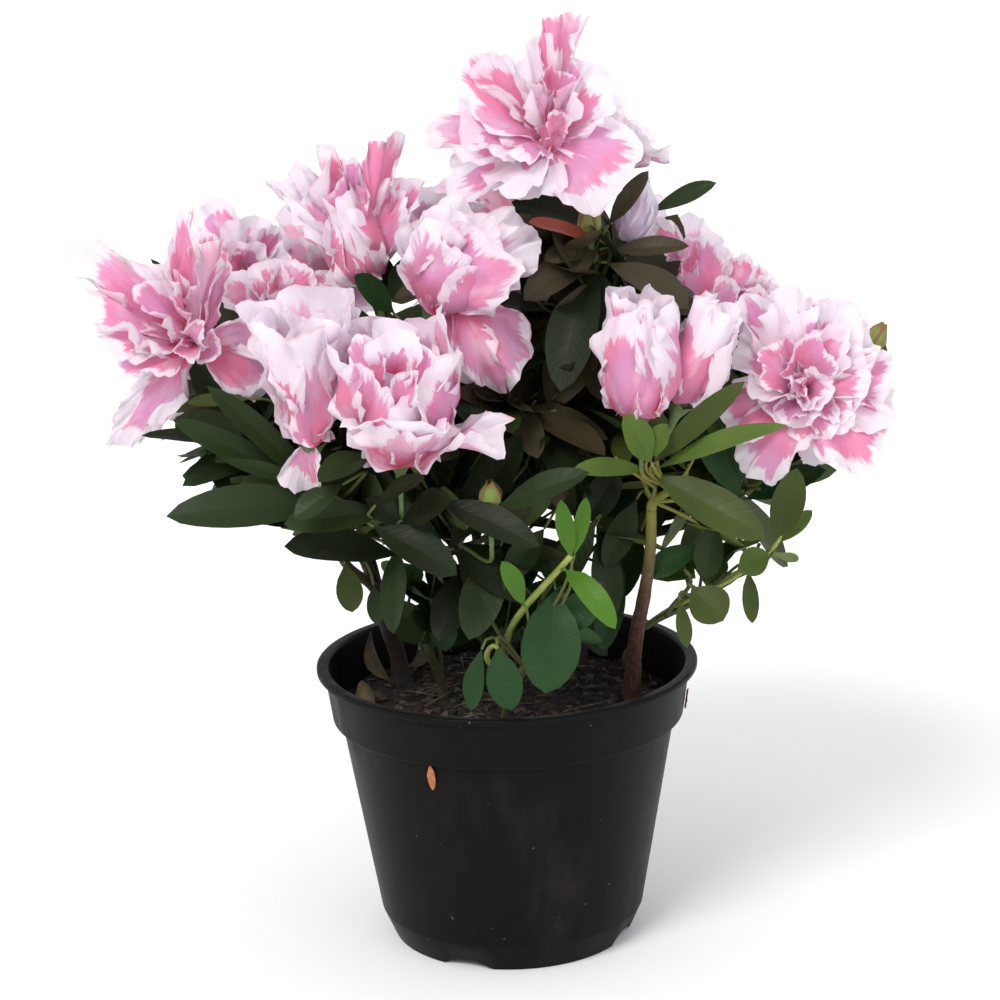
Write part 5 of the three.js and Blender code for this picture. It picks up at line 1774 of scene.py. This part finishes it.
class Crown:
    """All the twigs, joined by bark, and all the leaves, joined by tone."""

    def __init__(self):
        self.twigs = new_mesh("wood")
        self.right_twigs = new_mesh("wood")
        self.leaves = {tone: new_mesh("sheet") for tone in LEAF_FINISHES}
        self.balls = keep_outs()

    def add_twig(self, name, curve, radii, sides, steps, ages):
        """A twig of a mass. Those on the right stem are yellow-green, as its top is."""
        if name == "leaves_right":
            add_limb(self.right_twigs, curve, radii, sides, steps, GREEN_WOOD)
        else:
            add_limb(self.twigs, curve, radii, sides, steps, ages)

    def grow_mass(self, name, mass, random):
        """A mass's own stem, and the twigs that leave it."""
        curve, radius = mass_stem(mass)
        age, thick = AXLE_AGE, radius
        if "sprout" in name:
            age, thick = SPROUT_AGE, radius * SPROUT_AXLE_SHARE
        self.add_twig(name, curve, (thick, thick * AXLE_TAPER), 8, 10, (age - AXLE_AGE_RISE, age))
        for order, end in enumerate(shoot_tips(mass, random)):
            root = curve.at(between(TWIG_ZONE, (order + 1) / mass[3]))
            self.grow_twig(name, mass, order, root, end, random)

    def grow_twig(self, name, mass, order, root, end, random):
        """A twig and its side shoots, each with a spray of leaves where there is room for one.

        The sprays are grown from the last side shoot to the twig's own tip. A side shoot without
        leaves is left out, and a twig without leaves at its tip ends at its last leafy fork.
        """
        _, radius = mass_stem(mass)
        age = SPROUT_AGE if "sprout" in name else AXLE_AGE
        leaf = LONG_LEAF if isinstance(mass[0], str) else ROUND_LEAF
        tip, aim = end
        lead = (tip - root).normalized()
        twig = Sweep(root, lead, tip, aim)
        sprays = [(1, twig, (radius * TWIG_ROOT_SHARE, TWIG_TIP_RADIUS), LEAVES_ON_SHOOT)]
        for k, fork in enumerate(SIDE_SHOOT_PLACES):
            turn = SIDE_SHOOT_TURN * (len(SIDE_SHOOT_PLACES) * order + k) + SIDE_SHOOT_STRAY * random()
            reach = min(mass[2]) * between(SIDE_SHOOT_REACH, random())
            shoot = side_shoot(twig, lead, fork, turn, reach)
            sprays.append((fork, shoot, (TWIG_TIP_RADIUS, SIDE_SHOOT_TIP_RADIUS), LEAVES_ON_SIDE_SHOOT))
        last_fork = 0
        for spray, (fork, limb, radii, count) in reversed(list(enumerate(sprays))):
            blades = shoot_leaves(limb.at(1), limb.aim(1), leaf, count, random)
            blades = [blade for blade in blades if has_room(name, blade, self.balls)]
            if len(blades) >= LEAST_LEAVES:
                last_fork = max(last_fork, fork)
                tone = mass[4][(order + spray) % len(mass[4])]
                for blade in blades:
                    add_leaf(self.leaves[tone], blade, LEAF_WAVE, random())
            elif limb is twig and last_fork:
                limb = Sweep(root, lead, twig.at(last_fork), twig.aim(last_fork))
            else:
                continue
            self.add_twig(name, limb, radii, 6, 8, (age, TWIG_TIP_AGE))

    def grow_spray(self, name):
        """The stem of a mass's blooms, and a twig from it to the foot of each bloom's stalk."""
        frames = [BLOOM_FRAMES[key] for key, bloom in BLOOMS.items() if bloom["on"] == name]
        curve, radius = spray_stem(MASSES[name], [found.foot for found in frames])
        self.add_twig(name, curve, (radius, radius * AXLE_TAPER), 7, 8, SPRAY_AGES)
        for i, found in enumerate(frames):
            root = curve.at(between(TWIG_ZONE, (i + 1) / len(frames)))
            tip = found.foot + found.axis
            twig = Sweep(root, (tip - root).normalized(), tip, found.axis)
            self.add_twig(name, twig, (radius * TWIG_ROOT_SHARE, STALK_RADIUS), 6, 9, BLOOM_TWIG_AGES)

    def grow_shown_leaf(self, row, random):
        """A leaf that stands out by itself, on a stalk from the nearest point of its mass's stem."""
        name, tone, root, tip, half_width, sag = row
        sway = Vector((random() - 0.5, random() - 0.5, random() - 0.5)) * SHOWN_LEAF_SWAY
        blade = shown_blade(root, tip, half_width, sag, (Vector(SHOWN_LEAF_FACING) + sway).normalized())
        add_leaf(self.leaves[tone], blade, LEAF_WAVE, random())
        curve, _ = mass_stem(MASSES[name])
        start = min((curve.at(k / 8) for k in range(2, 9)), key=lambda spot: (spot - blade.root).length)
        lead = ((blade.root - start).normalized() + UP * SHOWN_LEAF_STALK_LIFT).normalized()
        stalk = Sweep(start, lead, blade.root, blade.ahead)
        self.add_twig(name, stalk, SHOWN_LEAF_STALK, 5, 8, LEAF_STALK_AGES)

    def finish(self):
        carried = list(MASSES) + BLOSSOM_NODES
        finish_piece("twigs", self.twigs, TWIG_BARK, carried)
        on_right = ["leaves_right", blossom_node("leaves_right")]
        finish_piece("right_twigs", self.right_twigs, BARK, on_right)
        for tone, bm in self.leaves.items():
            dealt = {name for name, mass in MASSES.items() if tone in mass[4]}
            shown = {row[0] for row in SHOWN_LEAVES if row[1] == tone}
            finish_piece(f"leaves_of_{tone}_green", bm, LEAF_FINISHES[tone], sorted(dealt | shown))


def grow_crown():
    crown = Crown()
    for order, (name, mass) in enumerate(MASSES.items()):
        crown.grow_mass(name, mass, seeded(FIRST_MASS_SEED + order))
    for name in BLOOMING:
        crown.grow_spray(name)
    random = seeded(SHOWN_LEAF_SEED)
    for row in SHOWN_LEAVES:
        crown.grow_shown_leaf(row, random)
    crown.finish()


def stalks_piece():
    """Stalks, flower tubes and sepals under each bloom."""
    bm = new_mesh("wood", "sheet")
    opening = math.radians(SEPAL_OPENING)
    for order, (name, bloom) in enumerate(BLOOMS.items()):
        found = BLOOM_FRAMES[name]
        tube, sepal = BLOOM_TUBE_RADII, BLOOM_SEPAL
        if "bud" in bloom:
            tube, sepal = BUD_TUBE_RADII, BUD_SEPAL
        length, half_width, back = sepal
        end = found.throat if "closed" in bloom else found.throat - found.axis * OPEN_TUBE_SINK
        curve = Sweep(found.foot, found.axis, end, found.axis)
        add_limb(bm, curve, (STALK_RADIUS, STALK_RADIUS, *tube), 8, 12)
        calyx = found.throat - found.axis * (TUBE_LENGTH * back)
        for (turn,) in ring(SEPALS, SEPAL_TURN * order):
            radial = found.radial(turn)
            blade = Blade(
                calyx + radial, lean(found.axis, radial, opening), lean(radial, found.axis, -opening),
                length, half_width, math.radians(SEPAL_BEND), SEPAL_CUP,
            )
            add_leaf(bm, blade, SEPAL_WAVE, turn)
    finish_piece("stalks_and_sepals", bm, SEPAL, BLOSSOM_NODES)


def shoots_piece():
    """Young green shoots that stand out from the foot of the plant."""
    bm = new_mesh("wood", "sheet")
    for start, start_aim, end, end_aim, radii in SHOWN_SHOOTS:
        leads = [Vector(aim).normalized() for aim in (start_aim, end_aim)]
        add_limb(bm, Sweep(Vector(start), leads[0], Vector(end), leads[1]), radii, 8, 20)
    finish_piece("green_shoots", bm, SHOOT, ["sprout_front", "sprout_right"])


# Camera, light and floor, in metres
CAMERA_DISTANCE = 1.0
CAMERA_RISE = 15
CAMERA_ROLL = -1.4
CAMERA_TARGET = (-0.001, 0, 0.153)
CAMERA_LENS = 106.85
CAMERA_SENSOR = 36
FLOOR_RADIUS = 9
FLOOR_COLOURS = ((0.86, 0.86, 0.855), (0.88, 0.88, 0.875))
SKY_COLOUR = (0.96, 0.97, 1.0)

# Lamps: name, the side that each stands on, strength, spread in degrees and colour
LAMPS = [
    ("key", (-0.45, -0.8, 0.9), 1.9, 24, (1.0, 0.975, 0.95)),
    ("fill", (0.7, -0.9, 0.25), 0.6, 50, (1.0, 0.97, 0.97)),
]


def make_camera():
    camera = in_scene("camera", bpy.data.cameras.new("camera"))
    camera.data.lens = CAMERA_LENS
    camera.data.sensor_width = CAMERA_SENSOR
    back = direction(-90, CAMERA_RISE)
    camera.location = Vector(CAMERA_TARGET) + back * CAMERA_DISTANCE
    roll = Matrix.Rotation(math.radians(CAMERA_ROLL), 3, "Z")
    camera.rotation_euler = (back.to_track_quat("Z", "Y").to_matrix() @ roll).to_euler()
    bpy.context.scene.camera = camera


def make_floor():
    bm = bmesh.new()
    bmesh.ops.create_circle(bm, cap_ends=True, segments=96, radius=FLOOR_RADIUS)
    mesh = bpy.data.meshes.new("floor")
    bm.to_mesh(mesh)
    bm.free()
    material, tree = new_material("floor")
    show(tree, surface_shader(tree, blend(tree, grain(tree, object_place(tree), 3.0), *FLOOR_COLOURS), 0.8))
    mesh.materials.append(material)
    in_scene("floor", mesh)


def make_light():
    world = bpy.data.worlds.new("studio")
    world.use_nodes = True
    sky = world.node_tree.nodes["Background"].inputs
    sky["Color"].default_value = (*SKY_COLOUR, 1)
    sky["Strength"].default_value = 1.0
    bpy.context.scene.world = world
    for name, side, strength, spread, colour in LAMPS:
        lamp = in_scene(name, bpy.data.lights.new(name, "SUN"))
        lamp.data.energy = strength
        lamp.data.angle = math.radians(spread)
        lamp.data.color = colour
        lamp.rotation_euler = Vector(side).to_track_quat("Z", "Y").to_euler()
    bpy.context.scene.view_settings.view_transform = "Standard"


# Build
pot_piece(plastic_finish())
compost_piece(mottled_finish("compost", (0.008, 0.006, 0.005), (0.02, 0.014, 0.011), 260.0, 0.95, 0.9, 0.001))
crumbs_piece(mottled_finish("crumb", (0.007, 0.006, 0.005), (0.03, 0.021, 0.015), 420.0, 0.9))
chips_piece(mottled_finish("chip", (0.018, 0.012, 0.009), (0.09, 0.058, 0.038), 350.0, 0.8))
straws_piece(mottled_finish("straw", (0.08, 0.055, 0.03), (0.18, 0.14, 0.08), 300.0, 0.6))
fallen_leaves_piece(mottled_finish("dry_leaf", (0.05, 0.046, 0.018), (0.12, 0.078, 0.036), 200.0, 0.6, 0.3))
stuck_petals_piece(mottled_finish("dry_petal", (0.5, 0.2, 0.06), (0.3, 0.1, 0.035), 300.0, 0.6, 0.4))
stems_piece("stems", [name for name in STEMS if name != "stem_right"], OLD_BARK)
stems_piece("right_stem", ["stem_right"], BARK)
boughs_piece(TWIG_BARK)
for order, (name, bloom) in enumerate(BLOOMS.items()):
    bloom_piece(order, name, bloom)
grow_crown()
stalks_piece()
shoots_piece()
make_camera()
make_floor()
make_light()
